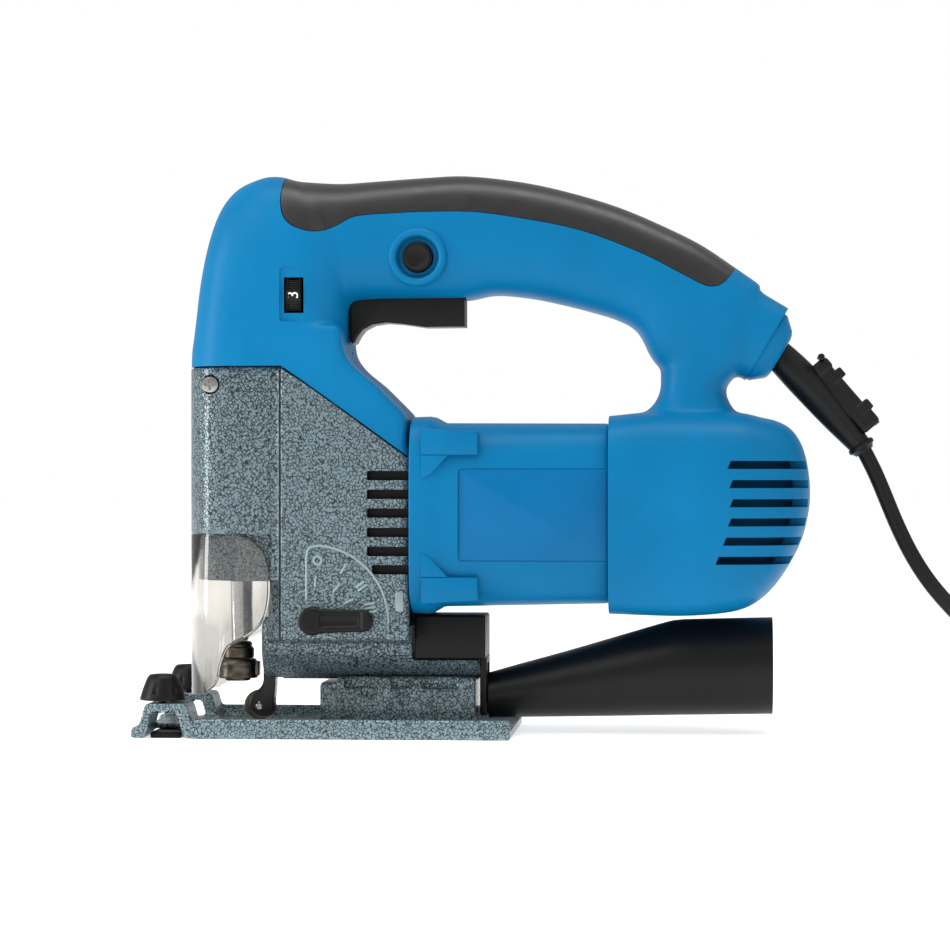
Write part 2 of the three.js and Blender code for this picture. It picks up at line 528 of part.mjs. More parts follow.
// ---------------------------------------------------------------- controls
const triggerSide = eased([[TRIGGER_X[0], 170], [TRIGGER_X[0], 143.6], [-42, 148.5], [-34, 151.4],
  [-20, 149.9], [TRIGGER_X[1], 149.9], [TRIGGER_X[1], 164], [-30, 164], [-32, 170]], 1.6);
piece('trigger', alongY(triggerSide, -7.4, 7.4, { curve: 2 }), HARD_BLACK);
piece('switch_body', block(-42, -26, -9, 9, 177.2, 188), HARD_BLACK);
piece('lock_button', union(rod('y', LOCK.r, -GRIP_HALF - 1.6, -GRIP_HALF + 4, [LOCK.x, 0, LOCK.z], 24),
  rod('y', 2.6, -GRIP_HALF + 3.8, -7, [LOCK.x, 0, LOCK.z], 14)), HARD_BLACK);
piece('speed_dial', ring('x', 2, DIAL.r, DIAL.x - 2.8, DIAL.x + 2.8, [0, DIAL.y, DIAL.z], 36),
  HARD_BLACK);

// ---------------------------------------------------------------- dust duct and spout
const DUCT_HALF = 13; // keeps inside the bracket's sweep when the shoe tilts
const duct = union(
  cut(block(-22, 4, -DUCT_HALF, DUCT_HALF, 27.5, 43.8),
    block(-20, 2, 2.4 - DUCT_HALF, DUCT_HALF - 2.4, 29.5, 42)),
  block(1.8, 4.3, -9, 9, 7, 28.5));
piece('dust_duct', cut(duct,
  rod('x', DUST_BORE.r, -30, -19, [0, 0, 36], 16),
  block(0, 10, -6, 6, 10.5, 26)), HARD_BLACK);

const SPOUT = { start: 4.8, belly: 75, end: 108.9, wall: 2 };
function spoutForm(shrink) {
  const shape = new THREE.Shape();
  shape.moveTo(SPOUT.start, 5.4 + shrink);
  shape.lineTo(SPOUT.end, 7.4 + shrink);
  shape.lineTo(SPOUT.end, 42.8 - shrink);
  shape.lineTo(SPOUT.belly, 41.8 - shrink);
  shape.lineTo(SPOUT.start, 22.2 - shrink);
  const side = alongY(shape, -20, 20);
  const plan = alongZ(outline([[SPOUT.start, 9.5 - shrink], [SPOUT.belly, 17.4 - shrink],
    [SPOUT.end, 17.8 - shrink], [SPOUT.end, shrink - 17.8], [SPOUT.belly, shrink - 17.4],
    [SPOUT.start, shrink - 9.5]]), 0, 50);
  return side.intersect(plan).intersect(aimedTube(shrink));
}
// A cone frustum whose circles grow from the inlet to the belly and then stay almost even.
function aimedTube(shrink) {
  const steps = 28;
  const stations = [[SPOUT.start - 1, 13.6, 9.6], [SPOUT.belly, 24.1, 18.1], [SPOUT.end + 1, 25.1, 18.1]];
  let tube = null;
  for (let i = 0; i + 1 < stations.length; i += 1) {
    const [x0, c0, r0] = stations[i];
    const [x1, c1, r1] = stations[i + 1];
    const cone = new THREE.CylinderGeometry(r1 - shrink, r0 - shrink, x1 - x0, steps)
      .applyMatrix4(new THREE.Matrix4().set(0, 1, 0, 0, 0, 0, 1, 0, 1, 0, 0, 0, 0, 0, 0, 1));
    const lean = (c1 - c0) / (x1 - x0);
    cone.applyMatrix4(new THREE.Matrix4().set(1, 0, 0, (x0 + x1) / 2, 0, 1, 0, 0,
      lean, 0, 1, (c0 + c1) / 2, 0, 0, 0, 1));
    const solid = toSolid(cone);
    tube = tube ? tube.add(solid) : solid;
  }
  return tube;
}
piece('dust_spout', cut(spoutForm(0), spoutForm(SPOUT.wall),
  block(SPOUT.start - 2, SPOUT.start + 3, -6, 6, 9, 19),
  rod('x', 16, SPOUT.end - 4, SPOUT.end + 2, [0, 0, 25.1], 28)), HARD_BLACK);

// ---------------------------------------------------------------- shoe
const FENCE = { x: -112.2, y: 30, r: 1.7 }; // thumb screws of the fence
const BEVEL = { x: -42, r: 2.3 }; // screw that locks the tilt
const arch = (y0, y1) => {
  const outer = eased([[SHOE_TIP_X, 0.3], [-122.2, 4.2], [-119.6, 4.6], [-117.2, 12.6], [-102.3, 12.6],
    [-99.2, 3], [-99.2, 0.2]], 1.2);
  const inner = eased([[-117.6, -1], [-114.8, 10], [-105.8, 10], [-103, -1]], 0.8);
  return cut(alongY(outer, y0, y1, { curve: 2 }), alongY(inner, y0 - 1, y1 + 1, { curve: 2 }));
};
const shoe = cut(union(
  block(-100, SHOE_END_X, -SHOE_HALF + 0.5, SHOE_HALF - 0.5, 0.2, 3),
  arch(-SHOE_HALF, -20.5), arch(20.5, SHOE_HALF),
  block(-119.5, -99, -20.8, 20.8, 2.4, 4.2),
  block(-101.6, -99, -20.8, 20.8, 0.2, 4.2),
  ...[-1, 1].map((side) => alongX(outline([[side * 35.8, 0], [side * SHOE_HALF, 0],
    [side * SHOE_HALF, 4.4], [side * 38.2, 7.2], [side * 36.6, 7.2], [side * 35.8, 2.6]]),
  -101, SHOE_END_X))),
// blade and roller opening, closed at the front by the cross bar
alongZ(eased([[-98.6, -16.5], [-70, -16.5], [-70, 16.5], [-98.6, 16.5]], 4), -2, 8, { curve: 3 }),
block(-112, -98, -5, 5, -2, 8),
rod('z', FENCE.r + GAP, 0, 20, [FENCE.x, -FENCE.y, 0], 14),
rod('z', FENCE.r + GAP, 0, 20, [FENCE.x, FENCE.y, 0], 14),
rod('z', BEVEL.r + GAP, -1, 5, [BEVEL.x, 0, 0], 16));
piece('shoe_plate', shoe, HAMMERED);
piece('sole_pad', alongZ(eased([[-116, -35.6], [-104.6, -35.6], [-104.6, 35.6], [-116, 35.6]], 1), 0, 2.1),
  HARD_BLACK);

const BRACKET = { x0: -57, x1: 0.4, half: 13.6, top: 20.8 };
const bracket = cut(union(
  block(-50.6, BRACKET.x1, -BRACKET.half, BRACKET.half, 3.3, 16.6),
  block(BRACKET.x0, -50, -BRACKET.half, BRACKET.half, 3.3, 18.8),
  ...[[-50.6, -47.6], [-35, -30.6], [-22.6, -19.4], [-5.6, BRACKET.x1]].map(([x0, x1]) =>
    block(x0, x1, -BRACKET.half, BRACKET.half, 12, BRACKET.top))),
rod('x', NECK_R + GAP, -70, 20, [0, 0, TILT_Z], 40),
block(-47, -36, -7, 7, 2, 30),
rod('z', BEVEL.r + GAP, 0, 30, [BEVEL.x, 0, 0], 16));
piece('tilt_bracket', bracket, HAMMERED);
piece('bevel_screw', rod('z', BEVEL.r, 1.2, 17, [BEVEL.x, 0, 0], 14), DARK_STEEL);

// ---------------------------------------------------------------- fence thumb screws
[-FENCE.y, FENCE.y].forEach((y) => {
  const name = y < 0 ? 'left' : 'right';
  const at = [FENCE.x, y, 0];
  piece(`${name}_fence_screw`, union(rod('z', FENCE.r, 9.2, 14.6, at, 12),
    rod('z', 2.4, 8.8, 9.7, at, 16)), STEEL);
  let knob = turned([[0, 14.9], [7.2, 14.9], [7.4, 13.4], [8.2, 13.4], [7.6, 16], [5.6, 22],
    [4.6, 22.9], [0, 22.9]], 'z', at, 20);
  for (let i = 0; i < 5; i += 1) {
    const a = (i * 2 * Math.PI) / 5 + 0.26;
    knob = knob.subtract(rod('z', 1.7, 15.5, 26, [at[0] + 8.3 * Math.cos(a), y + 8.3 * Math.sin(a), 0], 8));
  }
  piece(`${name}_fence_knob`, knob, HARD_BLACK);
});

// ---------------------------------------------------------------- mains cord
const SLEEVE = [[111.8, 138.6, 6], [118.6, 133.7, 5.5], [126.2, 126.4, 5], [134.2, 116.2, 4.4],
  [141.6, 105.3, 3.9]];
const sleeveStep = (i, extra) => {
  const [x0, z0, r0] = SLEEVE[i];
  const [x1, z1, r1] = SLEEVE[i + 1];
  const along = new THREE.Vector3(x1 - x0, 0, z1 - z0);
  return aimed([[0, -extra], [r0, -extra], [r1, along.length()], [0, along.length()]],
    new THREE.Vector3(x0, 0, z0), along.normalize());
};
const ringDirection = new THREE.Vector3(Math.cos(-57 * Math.PI / 180), 0, Math.sin(-57 * Math.PI / 180));
const lastOfSleeve = new THREE.Vector3(141.6, 0, 105.3);
piece('cord_sleeve', union(
  aimed([[0, -18], [5.7, -18], [5.7, 1], [0, 1]], CORD_EXIT, SLEEVE_DIR),
  sleeveStep(0, 0), sleeveStep(1, 1), sleeveStep(2, 1), sleeveStep(3, 1),
  aimed([[0, -1.4], [5.1, -1.4], [5.1, 0.6], [0, 0.6]], lastOfSleeve, ringDirection)), SOFT_BLACK);

// The hex key lies in a rubber clip along the upper side of the sleeve.
const CLIP_START = new THREE.Vector3(125.9, 0, 136.6);
const clipDirection = new THREE.Vector3(21.5, 0, -25.1).normalize();
const clipAngle = Math.atan2(25.1, 21.5);
const inClip = (along0, along1, y0, y1, out0, out1) =>
  toSolid(new THREE.BoxGeometry(along1 - along0, y1 - y0, out1 - out0)
    .translate((along0 + along1) / 2, (y0 + y1) / 2, (out0 + out1) / 2)
    .rotateY(clipAngle).translate(CLIP_START.x, 0, CLIP_START.z));
piece('key_clip', cut(union(inClip(-0.4, 31, -4, 4, -0.4, 3.6), inClip(5.4, 9.4, -4, 4, 3, 5.8),
  inClip(21.6, 26, -4, 4, 3, 5.8)), inClip(-5, 40, -1.6, 1.6, 1.2, 8)), SOFT_BLACK);
piece('hex_key', union(inClip(-3.4, 31.6, -1.3, 1.3, 1.5, 4.1), inClip(-3.4, -0.8, -12, 1.3, 1.5, 4.1)),
  DARK_STEEL);

const CORD_ROUTE = [[142.4, 0, 104.1], [145.6, -0.2, 98], [148.6, -0.6, 91], [151.3, -1.2, 84.2],
  [153.9, -2, 77.8], [156.6, -3, 71.8], [159.5, -4.3, 66], [162.8, -6, 60.4], [166.5, -8.1, 55],
  [170.7, -10.6, 49.9], [175.3, -13.5, 44.8], [180.4, -16.9, 39], [186, -20.7, 32.6],
  [192, -24.7, 26], [198.4, -28.9, 19.5], [205.2, -33.2, 13.4], [212.4, -37.5, 8.4],
  [220, -41.5, 5], [228, -45, 3.4], [236.4, -47.8, CORD_R], [245, -49.4, CORD_R],
  [254, -49.8, CORD_R]];
const circle = (radius, sides) => outline(Array.from({ length: sides }, (_, i) =>
  [radius * Math.cos((i * 2 * Math.PI) / sides), radius * Math.sin((i * 2 * Math.PI) / sides)]));
piece('cord_run', toSolid(new THREE.ExtrudeGeometry(circle(CORD_R, 10), {
  steps: 16,
  extrudePath: new THREE.CatmullRomCurve3(CORD_ROUTE.map((p) => new THREE.Vector3(...p))),
})), SOFT_BLACK);

const COIL = { x: 254, inner: 23.4, outer: 46.6, top: 4 * CORD_R };
const PLUG_BASE = COIL.top + GAP; // the plug lies on the coil, its cord entry facing -X
const PLUG = { x: 245.6, y: -27, z: PLUG_BASE + 8.7 };

// The cord's end climbs off the coil's outer turn and bends round into the plug.
function endRoute() {
  const points = [];
  const outer = COIL.outer - CORD_R;
  const bend = -PLUG.y;
  const rise = (low, high, t) => low + (high - low) * t * t * (3 - 2 * t);
  const steps = 8;
  const over = COIL.top + CORD_R;
  for (let i = 0; i < steps; i += 1) {
    const a = (Math.PI / 2) * (1 + i / steps);
    points.push([COIL.x + outer * Math.cos(a), outer * Math.sin(a),
      rise(COIL.top - CORD_R, over, i / steps)]);
  }
  for (let i = 0; i <= steps; i += 1) {
    const a = Math.PI * (1 + i / (2 * steps));
    points.push([COIL.x - outer + bend * (1 + Math.cos(a)), bend * Math.sin(a),
      rise(over, PLUG.z, i / steps)]);
  }
  points.push([PLUG.x - GAP, PLUG.y, PLUG.z]);
  return points.map((p) => new THREE.Vector3(...p));
}
const cordEnd = toSolid(new THREE.ExtrudeGeometry(circle(CORD_R, 10), {
  steps: 14,
  extrudePath: new THREE.CatmullRomCurve3(endRoute()),
}));
piece('cord_coil', union(ring('z', COIL.inner, COIL.outer, 0, COIL.top, [COIL.x, 0, 0], 40), cordEnd),
  SOFT_BLACK);

piece('mains_plug', union(
  alongZ(eased([[-25, 20], [-17, 8], [17, 8], [25, 20], [25, 50, 8], [-25, 50, 8]], 6),
    0, 19, { curve: 2 }),
  rod('y', 5, 0, 12, [0, 0, 8.7], 12),
  ...[[-11, 17, 3.2, 2], [11, 17, 3.2, 2], [0, 39, 2, 4]].map(([x, y, halfX, halfY]) =>
    block(x - halfX, x + halfX, y - halfY, y + halfY, 18, 37)))
  .rotate([0, 0, -90]).translate([PLUG.x, PLUG.y, PLUG_BASE]), SOFT_BLACK);

export default object;
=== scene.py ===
"""Corded jigsaw with a closed handle: its surfaces and finishes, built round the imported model."""
import math

import bmesh
import bpy
from mathutils import Matrix, Vector


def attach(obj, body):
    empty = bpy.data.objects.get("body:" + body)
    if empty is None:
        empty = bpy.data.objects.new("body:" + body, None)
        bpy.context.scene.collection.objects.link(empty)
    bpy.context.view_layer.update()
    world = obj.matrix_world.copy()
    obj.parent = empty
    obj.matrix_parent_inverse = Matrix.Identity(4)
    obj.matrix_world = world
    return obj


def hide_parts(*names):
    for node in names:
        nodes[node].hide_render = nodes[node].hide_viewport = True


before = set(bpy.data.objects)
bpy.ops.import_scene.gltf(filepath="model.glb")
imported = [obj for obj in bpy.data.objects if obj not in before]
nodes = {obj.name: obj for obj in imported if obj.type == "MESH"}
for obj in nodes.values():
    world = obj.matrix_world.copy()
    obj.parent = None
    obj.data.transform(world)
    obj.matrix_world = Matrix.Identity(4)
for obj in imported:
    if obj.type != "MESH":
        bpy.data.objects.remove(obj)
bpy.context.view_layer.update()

# ------------------------ camera, floor and lights
# Lengths are millimetres until a piece is finished; MM takes them to metres.
MM = 0.001
AIM = Vector((-0.65, 0, 95.1))
VIEW_YAW = math.radians(4)
VIEW_DISTANCE = 1200
LENS, SENSOR = 122.9, 36


def add_object(name, data):
    made = bpy.data.objects.new(name, data)
    bpy.context.scene.collection.objects.link(made)
    return made


camera = add_object("camera", bpy.data.cameras.new("camera"))
camera.data.lens, camera.data.sensor_width = LENS, SENSOR
camera.data.clip_end = 20
camera.location = (AIM + VIEW_DISTANCE * Vector((math.sin(VIEW_YAW), -math.cos(VIEW_YAW), 0))) * MM
camera.rotation_euler = (math.pi / 2, 0, VIEW_YAW)
bpy.context.scene.camera = camera


def softbox(name, place, wide, high, power):
    """A flat studio lamp that faces the middle of the tool."""
    lamp = bpy.data.lights.new(name, "AREA")
    lamp.shape, lamp.size, lamp.size_y, lamp.energy = "RECTANGLE", wide, high, power
    stand = add_object(name, lamp)
    stand.location = place
    stand.rotation_euler = (AIM * MM - Vector(place)).to_track_quat("-Z", "Y").to_euler()


softbox("key_softbox", (-0.75, -1.0, 1.05), 0.8, 0.6, 5)
softbox("fill_softbox", (1.1, -1.0, 0.7), 0.9, 0.9, 2.5)
softbox("top_softbox", (0.1, -0.2, 1.3), 1.3, 0.4, 9)
softbox("nose_softbox", (-1.15, -0.35, 0.25), 0.25, 0.9, 8)

SKY_LIGHT, SKY_SEEN = 0.5, 1.0  # the white surround as a lamp, and as it is seen
world = bpy.data.worlds.new("studio")
world.use_nodes = True
tree = world.node_tree
sky = tree.nodes["Background"]
path, seen, glow = (tree.nodes.new("ShaderNode" + kind) for kind in ("LightPath", "Math", "MapRange"))
sky.inputs["Color"].default_value = (1, 1, 1, 1)
seen.operation = "MAXIMUM"
glow.inputs["To Min"].default_value, glow.inputs["To Max"].default_value = SKY_LIGHT, SKY_SEEN
for start, end in ((path.outputs["Is Camera Ray"], seen.inputs[0]),
                   (path.outputs["Is Transmission Ray"], seen.inputs[1]),
                   (seen.outputs[0], glow.inputs["Value"]),
                   (glow.outputs[0], sky.inputs["Strength"])):
    tree.links.new(start, end)
bpy.context.scene.world = world
bpy.context.scene.view_settings.view_transform = "Standard"


# ------------------------ finishes
def rgb(code):
    """A linear colour from a hex code."""
    parts = [((code >> shift) & 255) / 255 for shift in (16, 8, 0)]
    return tuple(((c + 0.055) / 1.055) ** 2.4 if c > 0.04045 else c / 12.92 for c in parts) + (1,)


class Finish:
    """A material whose shader and pattern nodes are added one at a time."""

    def __init__(self, name, colour, roughness, **look):
        self.material = bpy.data.materials.new(name)
        self.material.use_nodes = True
        self.tree = self.material.node_tree
        self.shader = self.tree.nodes["Principled BSDF"]
        self.colour = rgb(colour)
        self.shader.inputs["Base Color"].default_value = self.colour
        self.shader.inputs["Roughness"].default_value = roughness
        for socket, value in look.items():
            self.shader.inputs[socket.replace("_", " ")].default_value = value
        self.place = self.tree.nodes.new("ShaderNodeTexCoord").outputs["Object"]

    def node(self, kind, result, **inputs):
        made = self.tree.nodes.new("ShaderNode" + kind)
        for name, value in inputs.items():
            if name in made.bl_rna.properties:
                setattr(made, name, value)
                continue
            socket = made.inputs[int(name[1:]) if name[0] == "_" else name.replace("_", " ")]
            if isinstance(value, bpy.types.NodeSocket):
                self.tree.links.new(value, socket)
            else:
                socket.default_value = value
        return made.outputs[result]

    def stretched(self, scale, turn=(0, 0, 0)):
        return self.node("Mapping", 0, Vector=self.place, Scale=scale, Rotation=turn)

    def grain(self, size, detail=2.0, rough=0.5, place=None, warp=0.0):
        """Noise whose lumps are about size millimetres across, from 0 to 1."""
        return self.node("TexNoise", 0, Vector=place or self.place, Scale=1 / (size * MM),
                         Detail=detail, Roughness=rough, Distortion=warp)

    def ramp(self, source, *stops):
        """Takes source through (position, shade) stops; a shade is a grey or a colour."""
        made = self.tree.nodes.new("ShaderNodeValToRGB")
        self.tree.links.new(source, made.inputs["Fac"])
        elements = made.color_ramp.elements
        while len(elements) < len(stops):
            elements.new(0.5)
        for element, (at, shade) in zip(elements, stops):
            element.position = at
            element.color = shade if isinstance(shade, tuple) else (shade, shade, shade, 1)
        return made.outputs["Color"]

    def sums(self, operation, first, second):
        return self.node("Math", 0, operation=operation, _0=first, _1=second)

    def blend(self, share, first, second):
        return self.node("Mix", 2, data_type="RGBA", _0=share, _6=first, _7=second)

    def bumps(self, height, depth, strength=1.0, under=None):
        """Surface relief, depth in millimetres; under is relief already made."""
        inputs = {"Height": height, "Distance": depth * MM, "Strength": strength}
        if under is not None:
            inputs["Normal"] = under
        return self.node("Bump", 0, **inputs)

    def wire(self, **sources):
        for socket, source in sources.items():
            self.tree.links.new(source, self.shader.inputs[socket.replace("_", " ")])
        return self.material


def shade(colour, factor):
    return tuple(min(1, c * factor) for c in colour[:3]) + (1,)


def plastic(name, colour, roughness, spark=0.35, drift=0.1, depth=0.012, **look):
    """Moulded plastic: spark-eroded grain, a slow drift of shade, and faint rubbed patches."""
    made = Finish(name, colour, roughness, **look)
    slow, fine = made.grain(45, 3), made.grain(spark, 3, 0.6)
    rubbed = made.ramp(made.grain(9, 5, 0.65), (0.52, 0.0), (0.72, 1.0))
    tint = made.ramp(slow, (0.3, shade(made.colour, 1 - drift)), (0.7, shade(made.colour, 1 + drift)))
    speck = made.blend(made.ramp(fine, (0.45, 0.0), (0.75, 0.16)), tint, shade(made.colour, 1.5))
    gloss = made.node("MapRange", 0, Value=rubbed, To_Min=roughness + 0.03, To_Max=roughness - 0.06)
    return made.wire(Base_Color=speck, Roughness=gloss, Normal=made.bumps(fine, depth))


def hammered(name, light, dark, cell, metal, share):
    """Hammer-finish paint: short dark crevices that wander between raised grey beads."""
    made = Finish(name, light, 0.36, Metallic=metal, Coat_Weight=0.35, Coat_Roughness=0.12)
    wander = made.node("TexNoise", "Color", Vector=made.place, Scale=1 / (cell * 1.3 * MM), Detail=2.0)
    pushed = made.node("VectorMath", 0, operation="SCALE", _0=wander, Scale=cell * 0.6 * MM)
    bent = made.node("VectorMath", 0, operation="ADD", _0=made.place, _1=pushed)
    edge = made.node("TexVoronoi", "Distance", feature="DISTANCE_TO_EDGE", Vector=bent,
                     Scale=1 / (cell * MM), Randomness=1.0)
    crevice = made.ramp(edge, (0.03, 1.0), (share, 0.0))
    broken = made.ramp(made.grain(cell * 1.1, 1), (0.37, 0.0), (0.45, 1.0))
    veins = made.sums("MULTIPLY", crevice, broken)
    bead = made.ramp(made.grain(cell * 0.45, 3), (0.3, shade(made.colour, 0.72)),
                     (0.7, shade(made.colour, 1.25)))
    tint = made.blend(veins, bead, rgb(dark))
    rough = made.node("MapRange", 0, Value=veins, To_Min=0.3, To_Max=0.55)
    relief = made.bumps(made.sums("SUBTRACT", made.grain(cell * 0.9, 1), veins), 0.22)
    return made.wire(Base_Color=tint, Roughness=rough, Normal=relief)


def metal(name, colour, roughness, lines=(1, 1, 12), spread=0.09, depth=0.01, metallic=1.0):
    """Machined metal: tool lines, closest together along the axis with the most, and a faint stain."""
    made = Finish(name, colour, roughness, Metallic=metallic)
    fine = made.grain(0.9, 4, 0.6, made.stretched(lines))
    stain = made.grain(7, 3)
    tint = made.ramp(stain, (0.3, shade(made.colour, 0.8)), (0.7, shade(made.colour, 1.1)))
    gloss = made.node("MapRange", 0, Value=fine, To_Min=roughness - spread, To_Max=roughness + spread)
    return made.wire(Base_Color=tint, Roughness=gloss, Normal=made.bumps(fine, depth))


def layered(name, colour, gap_colour, pitch, axis, roughness, metallic):
    """Stacked laminations or wound wire: even bands along one axis."""
    made = Finish(name, colour, roughness, Metallic=metallic)
    bands = made.node("TexWave", 1, Vector=made.place, Scale=math.pi / (10 * pitch * MM),
                      bands_direction=axis, Distortion=0.4, Detail=1.0)
    tint = made.blend(made.ramp(bands, (0.08, 1.0), (0.3, 0.0)), made.colour, rgb(gap_colour))
    spotted = made.blend(made.ramp(made.grain(3, 3), (0.4, 0.0), (0.8, 0.3)), tint, shade(made.colour, 0.6))
    return made.wire(Base_Color=spotted, Normal=made.bumps(bands, 0.08))


def clear(name, colour, roughness):
    """Clear polycarbonate with faint flow streaks down the moulding."""
    made = Finish(name, colour, roughness, IOR=1.5, Transmission_Weight=1.0)
    streak = made.grain(6, 3, 0.5, made.stretched((1, 1, 0.18)))
    smear = made.node("MapRange", 0, Value=streak, To_Min=roughness * 0.5, To_Max=roughness * 2.2)
    return made.wire(Roughness=smear, Normal=made.bumps(streak, 0.05))


BLUE = plastic("blue_casing", 0x006C9D, 0.4, Specular_IOR_Level=0.12)
PANEL_BLUE = plastic("blue_panel", 0x00659A, 0.34, spark=0.6, Specular_IOR_Level=0.15)
GRIP = plastic("soft_grip_rubber", 0x171617, 0.36, spark=0.5, depth=0.02, Sheen_Weight=0.08)
BLACK = plastic("black_moulding", 0x0B0B0B, 0.38, drift=0.25, depth=0.016, Specular_IOR_Level=0.22)
ROLLER_BLACK = plastic("roller_black", 0x1C1A18, 0.3, drift=0.3, Metallic=0.4)
CORD_BLACK = plastic("cord_jacket", 0x0C0C0C, 0.42, drift=0.2, depth=0.02, Specular_IOR_Level=0.25)
CASTING = hammered("hammered_casting", 0x6C8188, 0x081112, 1.22, 0.3, 0.165)
PLATE = hammered("hammered_plate", 0x7A9097, 0x122021, 1.2, 0.3, 0.14)
# Lighter grey for the quadrant rim and marks: a painted highlight on their raised edges.
RIDGE_HIGHLIGHT_GREY = plastic("ridge_painted_highlight", 0x8EA2A6, 0.3, drift=0.2, Metallic=0.35)
CLAMP = metal("browned_steel", 0x5A544C, 0.34)
BLACKED = metal("blacked_steel", 0x2B2B2C, 0.4)
STEEL = metal("ground_steel", 0xB9BABC, 0.26)
SCREW = metal("zinc_screw", 0xA9AAA6, 0.32, lines=(4, 4, 4))
COPPER = layered("copper_winding", 0xB8693A, 0x3A1A0C, 0.9, "Y", 0.34, 0.9)
CORE = layered("core_laminations", 0x6B6F75, 0x1D1E20, 0.8, "X", 0.48, 0.8)
BRONZE = metal("sintered_bronze", 0xA17B48, 0.45, lines=(2, 2, 2), metallic=0.8)
CARBON = plastic("carbon_block", 0x2A2B2E, 0.62, drift=0.3)
MARK_WHITE = plastic("number_paint", 0xE6E6E2, 0.5, drift=0.04)
# The clear guard's faint warm grey tint is a painted reflection of its surroundings.
GUARD = clear("clear_guard", 0xE6E4E0, 0.05)
FLOOR = plastic("studio_floor", 0xF4F4F4, 0.7, spark=40, drift=0.01, depth=0.001,
                Emission_Color=(1, 1, 1, 1), Emission_Strength=0.6)


# ------------------------ ways of making a solid
PLANES = {"x": lambda u, v, w: (w, u, v), "y": lambda u, v, w: (u, w, v), "z": lambda u, v, w: (u, v, w)}
AXES = {"x": Vector((1, 0, 0)), "y": Vector((0, 1, 0)), "z": Vector((0, 0, 1))}
CRISP = math.radians(35)


def flowing(rows, per=5):
    """More rows between the given ones, on a smooth curve through every column."""
    out = []
    for i in range(len(rows) - 1):
        around = [rows[max(i - 1, 0)], rows[i], rows[i + 1], rows[min(i + 2, len(rows) - 1)]]
        for k in range(per):
            t = k / per
            out.append(tuple(
                0.5 * (2 * b + (c - a) * t + (2 * a - 5 * b + 4 * c - d) * t * t
                       + (3 * b - a - 3 * c + d) * t ** 3) for a, b, c, d in zip(*around)))
    return out + [tuple(rows[-1])]


def outward(solid):
    bmesh.ops.remove_doubles(solid, verts=solid.verts, dist=0.0005)
    bmesh.ops.recalc_face_normals(solid, faces=solid.faces)
    return solid


def prism(points, axis, start, end, edge=0.0, steps=3, ease=0.0, ease_steps=4):
    """A closed outline across the axis drawn from start to end; ease rounds its corners and
    edge rounds the rims of both ends."""
    solid = bmesh.new()
    place = PLANES[axis]
    corners = [solid.verts.new(place(u, v, start)) for u, v in points]
    solid.faces.new(corners)
    if ease:
        bmesh.ops.bevel(solid, geom=corners, affect="VERTICES", offset=ease, segments=ease_steps,
                        profile=0.5, material=-1, clamp_overlap=True)
    drawn = bmesh.ops.extrude_face_region(solid, geom=solid.faces[:])["geom"]
    moved = [g for g in drawn if isinstance(g, bmesh.types.BMVert)]
    bmesh.ops.translate(solid, verts=moved, vec=Vector(place(0, 0, end - start)))
    outward(solid)
    if edge:
        rims = [e for e in solid.edges
                if any(abs(f.normal.dot(AXES[axis])) > 0.9 for f in e.link_faces)]
        bmesh.ops.bevel(solid, geom=rims, affect="EDGES", offset=edge, segments=steps,
                        profile=0.5, material=-1, clamp_overlap=True)
    return solid


def block(x0, x1, y0, y1, z0, z1, edge=0.0, steps=3):
    """A box with every edge rounded."""
    solid = bmesh.new()
    bmesh.ops.create_cube(solid, size=1)
    bmesh.ops.scale(solid, vec=(x1 - x0, y1 - y0, z1 - z0), verts=solid.verts)
    bmesh.ops.translate(solid, vec=((x0 + x1) / 2, (y0 + y1) / 2, (z0 + z1) / 2), verts=solid.verts)
    if edge:
        bmesh.ops.bevel(solid, geom=solid.edges[:], affect="EDGES", offset=edge, segments=steps,
                        profile=0.5, material=-1, clamp_overlap=True)
    return solid


def turned(profile, axis, centre, segments=64):
    """A profile of (radius, distance along the axis) turned about the axis through centre."""
    solid = bmesh.new()
    side = {"x": Vector((0, 0, 1)), "y": Vector((0, 0, 1)), "z": Vector((1, 0, 0))}[axis]
    spine = AXES[axis]
    points = [solid.verts.new(Vector(centre) + side * r + spine * h) for r, h in profile]
    closed = profile[0][0] > 0 or profile[-1][0] > 0
    edges = [solid.edges.new(pair) for pair in zip(points, points[1:])]
    if closed:
        edges.append(solid.edges.new((points[-1], points[0])))
    bmesh.ops.spin(solid, geom=points + edges, cent=Vector(centre), axis=spine, dvec=(0, 0, 0),
                   angle=2 * math.pi, steps=segments, use_merge=True)
    return outward(solid)


def rod(axis, radius, start, end, at, edge=0.0, segments=64):
    """A round bar with eased ends."""
    profile = [(0, start), (radius - edge, start), (radius, start + edge), (radius, end - edge),
               (radius - edge, end), (0, end)]
    if not edge:
        profile = [(0, start), (radius, start), (radius, end), (0, end)]
    return turned(profile, axis, at, segments)


def loft(stations, segments=64):
    """A skin through rings. A station is (centre, half width vector, half height vector, power);
    power 2 is an ellipse and more is squarer."""
    solid = bmesh.new()
    loops = []
    for centre, across, up, power in stations:
        verts = bmesh.ops.create_circle(solid, segments=segments, radius=1)["verts"]
        for v in verts:
            c, s = (math.copysign(abs(t) ** (2 / power), t) for t in v.co.xy)
            v.co = Vector(centre) + Vector(across) * c + Vector(up) * s
        loops.append(list(dict.fromkeys(e for v in verts for e in v.link_edges)))
    for low, high in zip(loops, loops[1:]):
        bmesh.ops.bridge_loops(solid, edges=low + high)
    for end in (loops[0], loops[-1]):
        bmesh.ops.contextual_create(solid, geom=end)
    return outward(solid)


